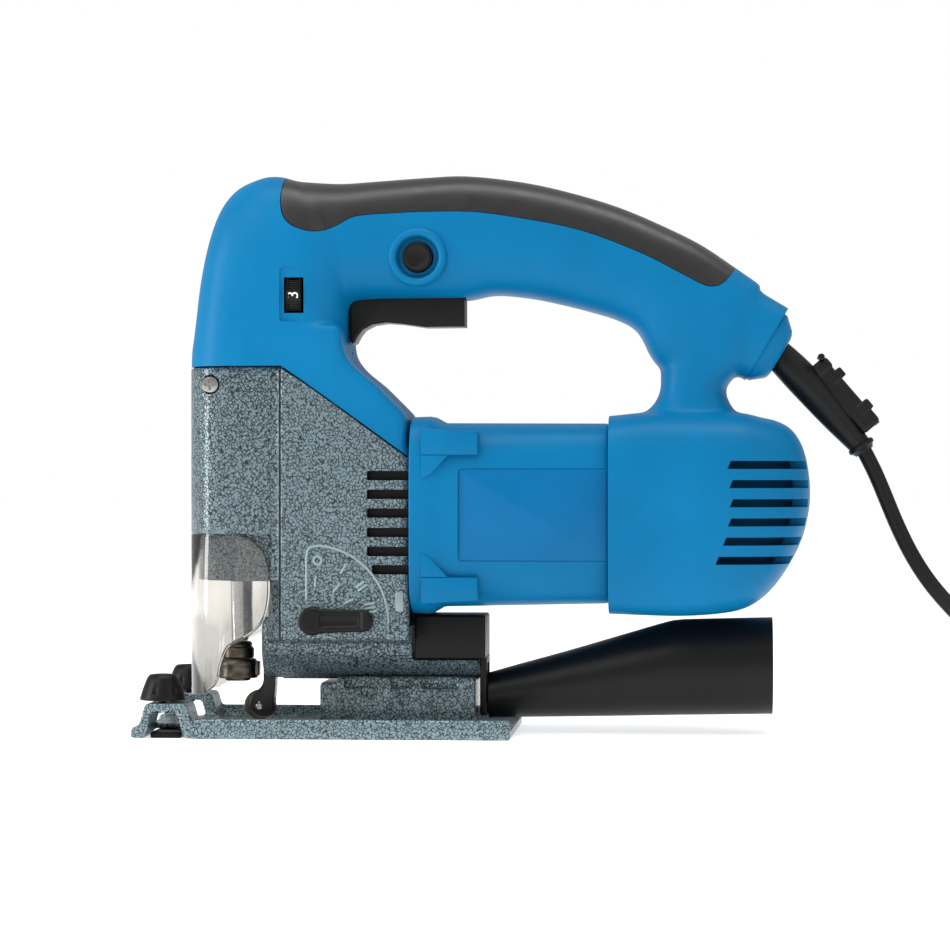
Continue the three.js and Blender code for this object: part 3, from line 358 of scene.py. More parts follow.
def swept(path, radius, segments=24, power=2.0):
    """A bar along points of (x, y, z) or (x, y, z, radius)."""
    points = [Vector(p[:3]) for p in path]
    radii = [p[3] if len(p) > 3 else radius for p in path]
    stations = []
    for i, point in enumerate(points):
        along = (points[min(i + 1, len(points) - 1)] - points[max(i - 1, 0)]).normalized()
        across = along.cross(Vector((0.03, 1, 0.02)) if abs(along.y) < 0.9 else Vector((0, 0, 1)))
        across.normalize()
        stations.append((point, across * radii[i], across.cross(along) * radii[i], power))
    return loft(stations, segments)


def moved(solid, matrix):
    bmesh.ops.transform(solid, matrix=matrix, verts=solid.verts)
    return outward(solid) if matrix.determinant() < 0 else solid


def mirrored(solid):
    """The same solid on the tool's other side."""
    other = solid.copy()
    return moved(other, Matrix.Scale(-1, 4, Vector((0, 1, 0))))


def blank(name, *solids):
    """One working object that holds these solids."""
    mesh = bpy.data.meshes.new(name)
    whole = bmesh.new()
    for solid in solids:
        solid.to_mesh(mesh)
        whole.from_mesh(mesh)
        solid.free()
    whole.to_mesh(mesh)
    whole.free()
    return add_object(name, mesh)


def settle(piece):
    """Takes what a piece's modifiers make as its mesh."""
    graph = bpy.context.evaluated_depsgraph_get()
    made = bpy.data.meshes.new_from_object(piece.evaluated_get(graph))
    piece.modifiers.clear()
    spent, piece.data = piece.data, made
    bpy.data.meshes.remove(spent)
    return piece


def scrap(*pieces):
    for piece in pieces:
        mesh = piece.data
        bpy.data.objects.remove(piece)
        bpy.data.meshes.remove(mesh)


def fused(piece, voxel, passes):
    """Melts overlapping solids into one skin and softens its creases."""
    melt = piece.modifiers.new("melt", "REMESH")
    melt.mode, melt.voxel_size, melt.adaptivity = "VOXEL", voxel, 0
    soften = piece.modifiers.new("soften", "SMOOTH")
    soften.factor, soften.iterations = 0.5, passes
    return settle(piece)


def shrunk(piece, depth, voxel):
    """A copy that lies depth inside the first skin."""
    inner = add_object(piece.name + "_inner", piece.data.copy())
    draw_in = inner.modifiers.new("draw_in", "DISPLACE")
    draw_in.strength, draw_in.mid_level = -depth, 0
    melt = inner.modifiers.new("melt", "REMESH")
    melt.mode, melt.voxel_size = "VOXEL", voxel
    return settle(inner)


def copied(piece, name):
    return add_object(name, piece.data.copy())


def worked(piece, operation, *tools):
    """Cuts, joins or trims piece by each tool in turn."""
    for tool in tools:
        tool = tool if isinstance(tool, bpy.types.Object) else blank("tool", tool)
        step = piece.modifiers.new("step", "BOOLEAN")
        step.operation, step.solver, step.object = operation, "MANIFOLD", tool
        settle(piece)
        scrap(tool)
    return piece


def cut(piece, *tools):
    return worked(piece, "DIFFERENCE", *tools)


def joined(piece, *tools):
    return worked(piece, "UNION", *tools)


def trimmed(piece, *tools):
    return worked(piece, "INTERSECT", *tools)


def rounded(piece, width, steps=2, angle=40):
    """A fine bevel along every crisp edge."""
    ease = piece.modifiers.new("ease", "BEVEL")
    ease.width, ease.segments, ease.limit_method = width, steps, "ANGLE"
    ease.angle_limit, ease.profile = math.radians(angle), 0.5
    ease.use_clamp_overlap = True
    return settle(piece)


def done(piece, finish, body, replaces=(), name=None):
    """Finishes a piece: metres, smooth shading that breaks at crisp edges, material and body."""
    if isinstance(piece, bmesh.types.BMesh):
        piece = blank(name, piece)
    elif name:
        piece.name = name
    mesh = piece.data
    mesh.name = piece.name
    mesh.transform(Matrix.Scale(MM, 4))
    mesh.polygons.foreach_set("use_smooth", [True] * len(mesh.polygons))
    mesh.set_sharp_from_angle(angle=CRISP)
    mesh.materials.clear()
    mesh.materials.append(finish)
    mesh.update()
    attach(piece, body)
    if replaces:
        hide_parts(*([replaces] if isinstance(replaces, str) else replaces))
    return piece


floor = blank("floor", block(-9000, 9000, -9000, 9000, -40, 0, 4))
floor.data.transform(Matrix.Scale(MM, 4))
floor.data.materials.append(FLOOR)

# ------------------------ mains cord
CORD_R = 2.9
CORD_ROUTE = [
    (142.4, 0, 104.1), (145.6, -0.2, 98), (148.6, -0.6, 91), (151.3, -1.2, 84.2), (153.9, -2, 77.8),
    (156.6, -3, 71.8), (159.5, -4.3, 66), (162.8, -6, 60.4), (166.5, -8.1, 55), (170.7, -10.6, 49.9),
    (175.3, -13.5, 44.8), (180.4, -16.9, 39), (186, -20.7, 32.6), (192, -24.7, 26),
    (198.4, -28.9, 19.5), (205.2, -33.2, 13.4), (212.4, -37.5, 8.4), (220, -41.5, 5),
    (228, -45, 3.4), (236.4, -47.8, 2.9), (245, -49.4, 2.9)]
COIL_X = 254
TURN_RADII = (43.7, 37.9, 32.1, 26.3)
TURN_STEPS = 36
COIL_START = 49.8


def coil_route():
    """Turns inward on the floor, a step up, turns outward on top, then off towards the plug."""
    out, angle = [], -0.25

    def wind(turns, r0, r1, z0=CORD_R, z1=None):
        nonlocal angle
        z1 = z0 if z1 is None else z1
        steps = round(TURN_STEPS * turns)
        for i in range(steps):
            t = i / steps
            ease = t * t * (3 - 2 * t)
            at = 2 * math.pi * (angle + turns * t)
            r = r0 + (r1 - r0) * ease
            out.append((COIL_X + r * math.cos(at), r * math.sin(at), z0 + (z1 - z0) * ease))
        angle += turns

    outer, second, third, inner = TURN_RADII
    top = 3 * CORD_R
    wind(0.25, COIL_START, outer)
    for r, tighter in ((outer, second), (second, third), (third, inner)):
        wind(0.75, r, r)
        wind(0.25, r, tighter)
    wind(0.5, inner, inner)
    wind(0.25, inner, inner, CORD_R, top)
    wind(0.25, inner, inner, top)
    for r, wider in ((inner, third), (third, second), (second, outer)):
        wind(0.25, r, wider, top)
        wind(0 if wider == outer else 0.75, wider, wider, top)
    wind(0.25, outer, outer, top, OVER_COIL)
    return out


# The end climbs off the coil's outer turn and bends round into the plug, which lies on the coil.
OVER_COIL = 5 * CORD_R
PLUG_AT = Vector((245.6, -27, 4 * CORD_R + 0.3))
PLUG_ENTRY = PLUG_AT.z + 8.7
BEND_STEPS = 9


def plug_bend():
    radius = -PLUG_AT.y
    out = []
    for i in range(BEND_STEPS + 1):
        t = i / BEND_STEPS
        turn = math.pi * (1 + t / 2)
        out.append((COIL_X - TURN_RADII[0] + radius * (1 + math.cos(turn)), radius * math.sin(turn),
                    OVER_COIL + (PLUG_ENTRY - OVER_COIL) * t * t * (3 - 2 * t)))
    return out


cord_path = CORD_ROUTE + coil_route() + plug_bend() + [(PLUG_AT.x - 0.2, PLUG_AT.y, PLUG_ENTRY)]

line = bpy.data.curves.new("mains_cord", "CURVE")
line.dimensions, line.bevel_depth, line.bevel_resolution = "3D", CORD_R * MM, 5
line.resolution_u, line.use_fill_caps = 3, True
spline = line.splines.new("NURBS")
spline.points.add(len(cord_path) - 1)
spline.use_endpoint_u, spline.order_u = True, 3
for knot, at in zip(spline.points, cord_path):
    knot.co = (*(Vector(at) * MM), 1)
line.materials.append(CORD_BLACK)
cord = add_object("mains_cord", line)
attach(cord, "root")
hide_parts("cord_run", "cord_coil")

# Strain relief: a long taper with a bead at its end, and a clip for the hex key along its back.
SLEEVE = [(111.8, 0, 138.6, 5.7), (118.3, 0, 132, 6.2), (125, 0, 124.7, 6.1), (132.8, 0, 115.5, 5.3),
          (141.6, 0, 105.3, 4)]


def heading(degrees):
    """A unit step to the rear that points degrees below level."""
    return Vector((math.cos(math.radians(degrees)), 0, -math.sin(math.radians(degrees))))


tip, tail_off = Vector(SLEEVE[-1][:3]), heading(57)
root, slope = Vector(SLEEVE[0][:3]), heading(31)
# The bead at the tip: (distance along the cord, radius).
BEAD = [(-1.5, 4.4), (-1.1, 5), (-0.4, 5.15), (0.3, 5), (0.6, 4.4), (2, 3.5)]
sleeve = blank("cord_sleeve_skin",
               swept([(*(root - slope * 14), 5.7), (*(root - slope * 6), 5.9)] + flowing(SLEEVE, 6), 1, 40),
               swept([(*(tip + tail_off * along), r) for along, r in BEAD], 1, 40))
done(sleeve, CORD_BLACK, "root", "cord_sleeve")
CLIP = Matrix.Translation((124.9, 0, 135.7)) @ Matrix.Rotation(math.atan2(25.1, 21.5), 4, "Y")


def on_clip(x0, x1, y0, y1, z0, z1, edge):
    return moved(block(x0, x1, y0, y1, z0, z1, edge), CLIP)


clip = blank("key_clip_rubber",
             on_clip(-0.4, 5, -4, 4, -2.6, 4.5, 1.6),
             on_clip(3, 24, -3.6, 3.6, -3.6, 3.6, 0.8),
             on_clip(22, 31, -4, 4, -3.6, 4.5, 1.6),
             on_clip(6.2, 10, -4.2, 4.2, 0.6, 5.9, 0.5),
             on_clip(21.4, 25.4, -4.2, 4.2, 0.6, 5.9, 0.5))
done(fused(clip, 0.35, 3), CORD_BLACK, "root", "key_clip")
KEY_R, KEY_RISE = 1.3, 2.8


def hex_bar(axis, aside, start, stop):
    """A leg of the hex key along one of the clip's own axes, and aside from it by some millimetres."""
    ring = [k * math.pi / 3 for k in range(6)]
    corners = [(aside + KEY_R * math.cos(a), KEY_RISE + KEY_R * math.sin(a)) for a in ring]
    return moved(prism(corners, axis, start, stop, 0.2, 2), CLIP)


key = blank("hex_key_bar", hex_bar("x", 0, -1.7, 31.2), hex_bar("y", -0.8, -12, 0.6))
done(key, BLACKED, "root", "hex_key")

# Mains plug, lying with its pins up.
PLUG_PLACE = Matrix.Translation(PLUG_AT) @ Matrix.Rotation(-math.pi / 2, 4, "Z")
plug = blank("plug_cover",
             prism([(-25, 20), (-17, 8), (17, 8), (25, 20), (25, 50), (-25, 50)], "z", 0, 19, 3, 5, 6, 6),
             prism([(-17, 16), (17, 16), (19, 44), (-19, 44)], "z", 17, 19.8, 0.8, 2, 5),
             rod("y", 5, 0, 13, (0, 0, 8.7), 1.2))
plug.data.transform(PLUG_PLACE)
plug = done(plug, BLACK, "root", "mains_plug")
pins = blank("plug_pins", *[block(x - a, x + a, y - b, y + b, 19, 37, 0.6)
                            for x, y, a, b in ((-11, 17, 3.2, 2), (11, 17, 3.2, 2), (0, 39, 2, 4))])
pins.data.transform(PLUG_PLACE)
pins = done(pins, BRONZE, "root", ())

# ------------------------ casing form
SEAM_X = 49.4
HEAD_HALF = 26.5
WALL, GRIP_SKIN, GAP = 3, 2.2, 0.3

# Each row is (height, nose side, back side, half width, squareness).
HEAD_ROWS = [(92, -105.4, -48, 26.5, 3.0), (135, -105.4, -47, 26.5, 3.0), (145, -104.5, -46.9, 26.5, 3.0),
             (152.5, -103.6, -46.9, 26.4, 3.0), (167.3, -101.8, -45, 26, 3.0), (182, -98.7, -46, 24.6, 2.9),
             (193.2, -94.6, -50, 21.8, 2.7), (200.6, -88.7, -58, 17.4, 2.5), (204.4, -81, -68, 11, 2.3),
             (205.6, -77.6, -72, 4, 2.0)]
# Each row is (top x, top z, lower x, lower z, half width, squareness).
GRIP_ROWS = [(-74, 204.9, -74, 170, 17, 2.5), (-66, 203.9, -66, 165, 19.5, 2.6),
             (-50.6, 202.8, -50, 159, 20.4, 2.8), (-35.8, 203.7, -36, 159.3, 18.9, 2.9),
             (-13.6, 205.2, -13, 159.4, 17.5, 3.0), (-4, 205.4, -2, 159.6, 17.5, 3.0),
             (8.6, 204.3, 7, 161.4, 17.5, 2.9), (23.4, 201.9, 20, 160.2, 17.4, 2.8),
             (38.2, 198.2, 31, 158, 17.2, 2.8), (53, 193.5, 42, 155.2, 17.2, 2.8),
             (67.8, 187.2, 53, 151.7, 17.2, 2.8), (82.6, 179.8, 60, 147, 17.2, 3.0),
             (94.6, 171.7, 66, 136, 17.2, 3.2), (104.8, 164.6, 78, 128, 16.5, 3.2)]
# Each row is (height, front x, back x, half width, squareness).
WEB_ROWS = [(98, 54, 101, 24, 2.8), (112, 57.5, 98.4, 21, 2.8), (117, 61, 96.4, 19, 2.8),
            (121, 65.4, 93.6, 17.6, 2.8), (126, 67.8, 91.9, 17.2, 2.8), (130.5, 68, 94.5, 17.2, 2.8),
            (136, 68.1, 101, 17, 2.8), (144, 67, 106, 17, 2.8), (152, 64, 108, 16.5, 2.8)]
# Each row is (x, top z, lower z, half width, squareness).
REAR_ROWS = [(46, 116.6, 44.4, 34.2, 4.2), (51, 116.9, 44.2, 34.5, 4.2), (62, 118, 43.8, 34.5, 4.2),
             (75, 118.4, 43.5, 34.5, 4.0), (88, 118.4, 44.2, 34.4, 3.8), (98, 117.8, 46, 33.8, 3.6),
             (104.8, 116.2, 49.8, 32.4, 3.3), (110.5, 114.9, 55.6, 29.8, 3.1),
             (115.9, 111.8, 63.8, 25.6, 2.9), (119.6, 106.2, 71.5, 20, 2.7),
             (121.6, 99.4, 78.8, 13.6, 2.5), (122.6, 92.2, 84.4, 5.5, 2.2)]
COLLAR = Matrix.Translation((105.9, 0, 141.5)) @ Matrix.Rotation(math.radians(31), 4, "Y")
# Along the cord's way out: (distance, upper edge, lower edge, half width, squareness).
CORD_END_ROWS = [(-34, 17, -9, 15.5, 2.8), (-22, 17.2, -12.5, 15.5, 2.9), (-10, 17.2, -13.4, 15.2, 3.1),
                 (2, 17.1, -13.4, 14.8, 3.4), (4, 17, -13.4, 14.8, 3.4)]


def standing(row):
    z, x0, x1, half, power = row
    return ((x0 + x1) / 2, 0, z), ((x1 - x0) / 2, 0, 0), (0, half, 0), power


def lying(row):
    x, z1, z0, half, power = row
    return (x, 0, (z0 + z1) / 2), (0, half, 0), (0, 0, (z1 - z0) / 2), power


def leaning(row):
    x1, z1, x0, z0, half, power = row
    return ((x0 + x1) / 2, 0, (z0 + z1) / 2), (0, half, 0), ((x1 - x0) / 2, 0, (z1 - z0) / 2), power


LEG = [(-86, 88), (-20, 88), (-20.6, 98), (-23.8, 104), (-23.8, 116.4), (-35.6, 128.2), (-43.2, 134.2),
       (-46.9, 139.2), (-48, 150), (-86, 150)]
form = blank("casing_form",
             loft([standing(r) for r in flowing(HEAD_ROWS, 3)], 72),
             prism(LEG, "y", -HEAD_HALF, HEAD_HALF, 5, 5, 2.2),
             loft([leaning(r) for r in flowing(GRIP_ROWS, 3)], 72),
             loft([standing(r) for r in flowing(WEB_ROWS, 3)], 72),
             loft([lying(r) for r in flowing(REAR_ROWS, 3)], 84),
             moved(loft([lying(r) for r in flowing(CORD_END_ROWS, 2)], 64), COLLAR))
fused(form, 1.2, 9)
BELOW_JOINT = [(-69.6, 134.6), (-62.5, 129.8), (-44.4, 116.9), (-23.4, 101.7)]


def below_joint(lift):
    """Room of the gear housing under the sloping joint."""
    slope_line = [(x, z + lift) for x, z in BELOW_JOINT]
    return prism([(-130, 134.6 + lift)] + slope_line + [(-8, 90.5 + lift), (-8, 50), (-130, 50)],
                 "y", -45, 45)


GRIP_LINE = [(-69.5, 206), (-70.2, 199.1), (-70.2, 194.3), (-68.8, 189.3), (-65.1, 185.9), (-59.7, 184.2),
             (-54.9, 184.5), (-49.9, 186.3), (-45.1, 189), (-40.3, 190.2), (-31.7, 190.8), (-19.5, 191.4),
             (-1.3, 191.4), (16.9, 189), (38.8, 184.5), (60.7, 176.2), (75.3, 168.7), (82.6, 164.9),
             (86.6, 163.8), (90.4, 164.8), (93.8, 168.4), (96.6, 173.2)]
PALM_FRONT = -64


def grip_area(grow):
    """The soft grip's outline from the side; its lower line sweeps under the palm."""
    low = [(x - grow if x < PALM_FRONT else x, z - grow) for x, z in flowing(GRIP_LINE, 4)]
    return prism([(-69.4 - grow, 225)] + low + [(140, 225)], "y", -45, 45)


# Takes off only what stands past the cord collar; the rear end below it stays whole.
collar_face = moved(block(0, 60, -30, 30, -14.5, 40), COLLAR)
cut(form, block(20, SEAM_X, -50, 50, 30, 125), collar_face)

skin_under = shrunk(form, GRIP_SKIN + GAP, 1.6)
hollow = shrunk(form, GRIP_SKIN + GAP + WALL, 1.7)
shell = copied(form, "casing")
cut(shell, grip_area(0.28))
joined(shell, skin_under)

# Raised ring round the lock button, and the cord collar.
LOCK = (-20.5, 0, 174.7)
LOCK_R = 5.4
LOCK_RING = [(6.2, -15), (10.9, -15), (10.9, -17.4), (10.5, -18.3), (9.9, -18.9), (9.2, -19.2), (8.6, -19.1),
             (8.1, -18.7), (6.2, -17)]
joined(shell, turned(LOCK_RING, "y", LOCK, 96))
COLLAR_ROWS = [(-6, 14.4, -12.4, 13.6, 3), (0.4, 14.7, -12.8, 14, 3), (1.2, 14.6, -12.7, 13.9, 3),
               (5.4, 10.8, -9.3, 11.2, 3), (6.2, 9.4, -8.2, 10.2, 3), (6.6, 7.8, -6.6, 8.8, 3)]
joined(shell, moved(loft([lying(r) for r in COLLAR_ROWS], 64), COLLAR))
cut(shell, hollow)
cut(shell, below_joint(GAP))
# A web behind the rear slots, its back edge sunk in the wall.
joined(shell, trimmed(shrunk(form, WALL, 1.7), block(80, 125, -8, 8, 57, 104)))
TRIGGER_X = (-46.6, -4)
DIAL = (-65, -17.6, 160.5)
cord_bore = moved(rod("x", 6.8, -30, 12, (0, 0, 0)),
                  Matrix.Translation((111.9, 0, 139)) @ COLLAR.to_3x3().to_4x4())
cut(shell,
    block(TRIGGER_X[0] - 0.5, TRIGGER_X[1] + 0.5, -8, 8, 140, 172),
    turned([(0, -25), (8, -25), (8, -18.6), (7.4, -17.4), (7.1, -15.4), (0, -15.4)], "y", LOCK, 72),
    rod("y", LOCK_R + GAP, -30, 0, LOCK),
    rod("x", 29.3, 40, 53, (0, 0, 80.5)),
    cord_bore)
# Dial window in a shallow frame.
cut(shell,
    prism([(-70.1, 150.8), (-59.6, 150.8), (-59.6, 170.8), (-70.1, 170.8)], "y", -30, -25.2, 0.5, 2, 1.4),
    block(-68.2, -61.7, -30, -12, 154.5, 166.4, 0.3),
    rod("x", 10, -68.6, -61.4, (0, -17.6, 160.5)))
# Cooling slots that run round towards the back; their front ends slant, and each starts at its own x.
VENTS = [92.2, 92.9, 93, 92.4, 90.6, 87.9]
VENT_TOP, VENT_STEP, VENT_HALF = 98.7, 6.86, 1.45
for side in (-1, 1):
    slots = []
    for i, x in enumerate(VENTS):
        z = VENT_TOP - VENT_STEP * i
        low, high = z - VENT_HALF, z + VENT_HALF
        slots.append(prism([(x, low), (140, low), (140, high), (x + 1.2, high)], "y", side * 13, side * 42))
    cut(shell, blank("slots", *slots))
# Shell screws on the right side: (place, where the head's top sits).
SCREWS = [((-96, 0, 176), 19), ((-52, 0, 172), 16.5), ((100, 0, 152), 16.5)]
for at, face in SCREWS:
    cut(shell, rod("y", 3.8, face - 3.6, 40, at), rod("y", 1.9, 2, face, at))

left_casing = trimmed(copied(shell, "left_casing"), block(-150, 150, -60, -0.14, 0, 230))
right_casing = trimmed(copied(shell, "right_casing"), block(-150, 150, 0.14, 60, 0, 230))
done(left_casing, BLUE, "root", "left_handle_shell")
done(right_casing, BLUE, "root", "right_handle_shell")

pad = trimmed(copied(form, "grip_skin"), grip_area(0))
cut(pad, shrunk(form, GRIP_SKIN, 1.6))
for side, (y0, y1) in (("left", (-60, -0.14)), ("right", (0.14, 60))):
    half = trimmed(copied(pad, side + "_grip_skin"), block(-150, 150, y0, y1, 0, 230))
    done(half, GRIP, "root", side + "_grip_pad")
scrap(pad, shell, form)


# ------------------------ motor housing
FLANGE_X = -22.4
MOTOR_Z, MOTOR_BORE = 80.5, 29
# Each row is (x, top z, lower z, half width, squareness).
MOTOR_ROWS = [(FLANGE_X, 116, 44.8, 32.2, 4.4), (FLANGE_X + 0.4, 116.4, 44.4, 32.5, 4.4),
              (-16.2, 116.6, 44.2, 32.6, 4.4), (-15.2, 116.4, 44.4, 32.5, 4.4), (-11.4, 114.4, 46.6, 32, 4.1),
              (-10, 114.2, 46.8, 32, 4.0), (48.2, 114, 48, 31.9, 4.0), (49.1, 113.6, 48.4, 31.5, 4.0)]
motor = blank("motor_tube", loft([lying(r) for r in MOTOR_ROWS], 120))
# Bosses that carry the long screws behind the flange, and the flats that lead into them.
for low, high, slant in ((102.3, 112, 1), (48.6, 58.2, -1)):
    near, far = (low, high) if slant > 0 else (high, low)
    boss = prism([(-18, near), (2.6, near), (2.6, far - slant * 1.2), (-18, far)], "y", -33.1, -26, 0.7, 2)
    lead = prism([(-18, near - slant * 9), (-14.5, near - slant * 7), (-8, near), (-18, near)], "y",
                 -32.9, -26, 0.5, 2)
    joined(motor, mirrored(boss), boss, mirrored(lead), lead)
PANEL = [(-4.7, 63.9), (60, 63.9), (60, 97.5), (-4.7, 97.5)]
for y0, y1 in ((-40, -31.1), (31.1, 40)):
    cut(motor, prism(PANEL, "y", y0, y1, 0, 1, 1.6))
cut(motor, rod("x", MOTOR_BORE, -40, 60, (0, 0, MOTOR_Z), 0, 96))
done(motor, BLUE, "root", "motor_housing")
PLATE_OUTLINE = [(-4.3, 64.3), (48.9, 64.3), (48.9, 97.1), (-4.3, 97.1)]
for side in ("left", "right"):
    plate = prism(PLATE_OUTLINE, "y", -31.35, -31.0, 0.12, 2, 1.4)
    plate = plate if side == "left" else mirrored(plate)
    done(plate, PANEL_BLUE, "root", (), side + "_badge_plate")

# ------------------------ gear housing
def nose_plan(half, front, back, sweep):
    """The nose from above: straight cheeks that sweep round into the front."""
    def swing(p0, p1, p2, p3, steps=14):
        out = []
        for i in range(steps):
            t = i / steps
            u = 1 - t
            out.append(tuple(u ** 3 * a + 3 * u * u * t * b + 3 * u * t * t * c + t ** 3 * d
                             for a, b, c, d in zip(p0, p1, p2, p3)))
        return out
    start, middle, last = (front + sweep, -half), (front, 0), (front + sweep, half)
    return ([(back, -half)] + swing(start, (front + sweep * 0.35, -half), (front, -half * 0.62), middle)
            + swing(middle, (front, half * 0.62), (front + sweep * 0.35, half), last) + [last, (back, half)])


NOSE_X, NOSE_HALF, GEAR_HALF = -106, 22.5, 28
GUARD_SKIN, GUARD_TOP, GUARD_BACK = 1.8, 73.3, -74
TILT_Z, NECK_R = 34, 14.5
JOINT_Z = 134.6
BODY_SIDE = [(-70.4, 34.5), (FLANGE_X - GAP, 34.5), (FLANGE_X - GAP, 101), (-44.4, 116.9), (-62.5, 129.8),
             (-70.4, JOINT_Z)]
neck_trim = block(-30, 10, -20, 20, 0, 27.2)
tail = trimmed(blank("tail", rod("x", NECK_R, FLANGE_X - 3, 1.5, (0, 0, TILT_Z), 0.6, 96)), neck_trim)
casting = blank("casting", prism(nose_plan(NOSE_HALF, NOSE_X, -66, 17), "z", 56.3, JOINT_Z, 0.4, 2),
                prism(nose_plan(NOSE_HALF - 2.4, -77, -58, 5), "z", 34.5, 62, 1, 2),
                prism(BODY_SIDE, "y", -GEAR_HALF, GEAR_HALF, 2.2, 4),
                prism([(-68, 34.5), (FLANGE_X - GAP, 34.5), (FLANGE_X - GAP, 30), (-64, 30)],
                      "y", -13, 13, 1, 2),
                rod("x", NECK_R, -78.5, FLANGE_X - GAP, (0, 0, TILT_Z), 1.2, 96))
fused(joined(casting, tail), 0.85, 4)
# Raised quadrant for the orbit selector, with its marks; their lighter grey is a painted highlight along the
# raised rim and marks.
ORBIT = Vector((-57.5, 0, 42.2))
QUADRANT_R = 27.3
RAISED = 0.45  # height of the rim and marks; the lever passes over them
arc = [(ORBIT.x + QUADRANT_R * math.cos(a), -GEAR_HALF, ORBIT.z + QUADRANT_R * math.sin(a))
       for a in (math.radians(d) for d in range(-2, 87, 4))]
arc += [(-58.6, -GEAR_HALF, 69), (-59.6, -GEAR_HALF, 67.6), (-60, -GEAR_HALF, 65), (-60, -GEAR_HALF, 50)]
rim = blank("quadrant_rim", swept(arc, RAISED, 16))


def mark(bars, radius, degrees):
    """A raised mark of short bars, or a small ring when bars is 0."""
    a = math.radians(degrees)
    at = ORBIT + Vector((math.cos(a), 0, math.sin(a))) * radius
    at.y = -GEAR_HALF
    if not bars:
        ring = [(1, -RAISED), (1.9, -RAISED), (1.9, 0.6), (1, 0.6)]
        return [turned(ring, "y", (at.x, -GEAR_HALF, at.z), 28)]
    turn = Matrix.Translation(at) @ Matrix.Rotation(math.pi / 2 - a, 4, "Y")
    return [moved(block(1.5 * k - 0.42, 1.5 * k + 0.42, -RAISED, 0.8, -2, 2, 0.2, 2), turn)
            for k in (i - (bars - 1) / 2 for i in range(bars))]


marks = mark(0, 22, 86) + mark(1, 22, 60) + mark(2, 21.6, 36) + mark(3, 21.4, 13)
for degrees, radius in ((84, 14.4), (52, 14.8), (26, 14.8)):
    marks += mark(2, radius, degrees)[:1]
joined(rim, blank("marks", *marks), block(-27.6, -24.6, -GEAR_HALF - RAISED, -27.4, 45.6, 52.6, 0.4, 3))
trimmed(rim, block(-70, -22, -32, 0.1 - GEAR_HALF, 34, 80))
done(rim, RIDGE_HIGHLIGHT_GREY, "root", ())
# Guard seat: the lower nose steps in so the guard lies flush.
seat = blank("seat", block(-120, GUARD_BACK + 0.5, -40, 40, 50, GUARD_TOP + GAP))
step_in = GUARD_SKIN + 2 * GAP
cut(seat, prism(nose_plan(NOSE_HALF - step_in, NOSE_X + step_in, -50, 17), "z", 45, 80))
cut(casting, seat)
PLUNGER_X = -89
FORK_PIN = (-76.5, 0, 44)
NOSE_SCREW = (-96.4, 0, 128.2)
CAVITY = [(-66, 40), (0, 40), (0, 85), (-22, 97), (-44.4, 113.2), (-63.5, 126.8), (-66, 160)]
cut(casting, prism(CAVITY, "y", WALL - GEAR_HALF, GEAR_HALF - WALL),
    prism(nose_plan(NOSE_HALF - WALL - 2.4, NOSE_X + WALL + 2.4, -60, 17), "z", 70, 160),
    rod("z", 8, 50, 75, (PLUNGER_X, 0, 0)), block(-95, -71.5, -4.6, 4.6, 15, 50, 0.5),
    rod("y", 1.8, -14, 14, FORK_PIN), rod("x", 5, -100, -20, (0, 0, 29)))
GEAR_VENTS = [94.9, 88.1, 81.3, 74.3, 67.4, 60.8]
for side in (-1, 1):
    slots = [block(-38 if i < 5 else -36.2, -10, *sorted((side * 20, side * 42)), z - 1.7, z + 1.7, 0.5, 2)
             for i, z in enumerate(GEAR_VENTS)]
    groove = block(-70.1, -69.4, *sorted((side * 22.3, side * 42)), 33, 140)
    well = turned([(0, side * 19), (3.7, side * 19), (3.7, side * 21.4), (5, side * 23.4), (5, side * 42),
                   (0, side * 42)], "y", NOSE_SCREW, 48)
    cut(casting, blank("slots", *slots), groove, well)
done(casting, CASTING, "root", "gear_housing")


def screw_head(radius, at, face, side):
    """A pan head with a cross recess, its top facing out along Y."""
    profile = [(0, face - side * 2.4), (radius, face - side * 2.4), (radius, face - side * 1),
               (radius * 0.86, face - side * 0.3), (radius * 0.4, face), (0, face)]
    head = blank("screw", turned(profile, "y", at, 40))
    long, short = radius * 0.62, radius * 0.15
    y0, y1 = sorted((face - side * 1.1, face + side * 1))
    x, z = at[0], at[2]
    return cut(head, block(x - long, x + long, y0, y1, z - short, z + short),
               block(x - short, x + short, y0, y1, z - long, z + long))


for side, name in ((-1, "left"), (1, "right")):
    done(screw_head(3.3, NOSE_SCREW, side * 20.6, side), SCREW, "root", name + "_nose_screw",
         name + "_nose_screw_head")
for i, (at, face) in enumerate(SCREWS):
    head = joined(screw_head(3.4, at, face - 0.2, 1), rod("y", 1.6, face - 11, face - 1.6, at, 0.4))
    done(head, SCREW, "root", f"handle_screw_{i + 1}", f"handle_screw_head_{i + 1}")

# ------------------------ blade guard
GUARD_LINE = [(-86.2, 73.3), (-79.8, 70.6), (-75.6, 65), (-74, 54.5), (-75.8, 43.5), (-81.6, 37.2),
              (-88.7, 33.2), (-91.6, 27.1), (-93.4, 19.9), (-98.4, 15.2)]
guard = blank("guard_shell", prism(nose_plan(NOSE_HALF, NOSE_X, -40, 17), "z", 5, 90))
cut(guard, prism(nose_plan(NOSE_HALF - GUARD_SKIN, NOSE_X + GUARD_SKIN, -35, 17), "z", 0, 95))
trimmed(guard, prism([(-120, GUARD_TOP)] + flowing(GUARD_LINE, 5) + [(-104, 14.3), (-120, 14.2)],
                     "y", -60, 60))
rounded(guard, 0.35, 2)
# A bead along the guard's rear edge, on both cheeks.
edge_line = [(x, z) for x, z in flowing(GUARD_LINE, 5) if x < GUARD_BACK + 14 and z > 16]
for side in (-1, 1):
    joined(guard, swept([(x - 0.5, side * (NOSE_HALF + 0.1), z - 0.5) for x, z in edge_line], 0.55, 10))
done(guard, GUARD, "guard", "blade_guard")

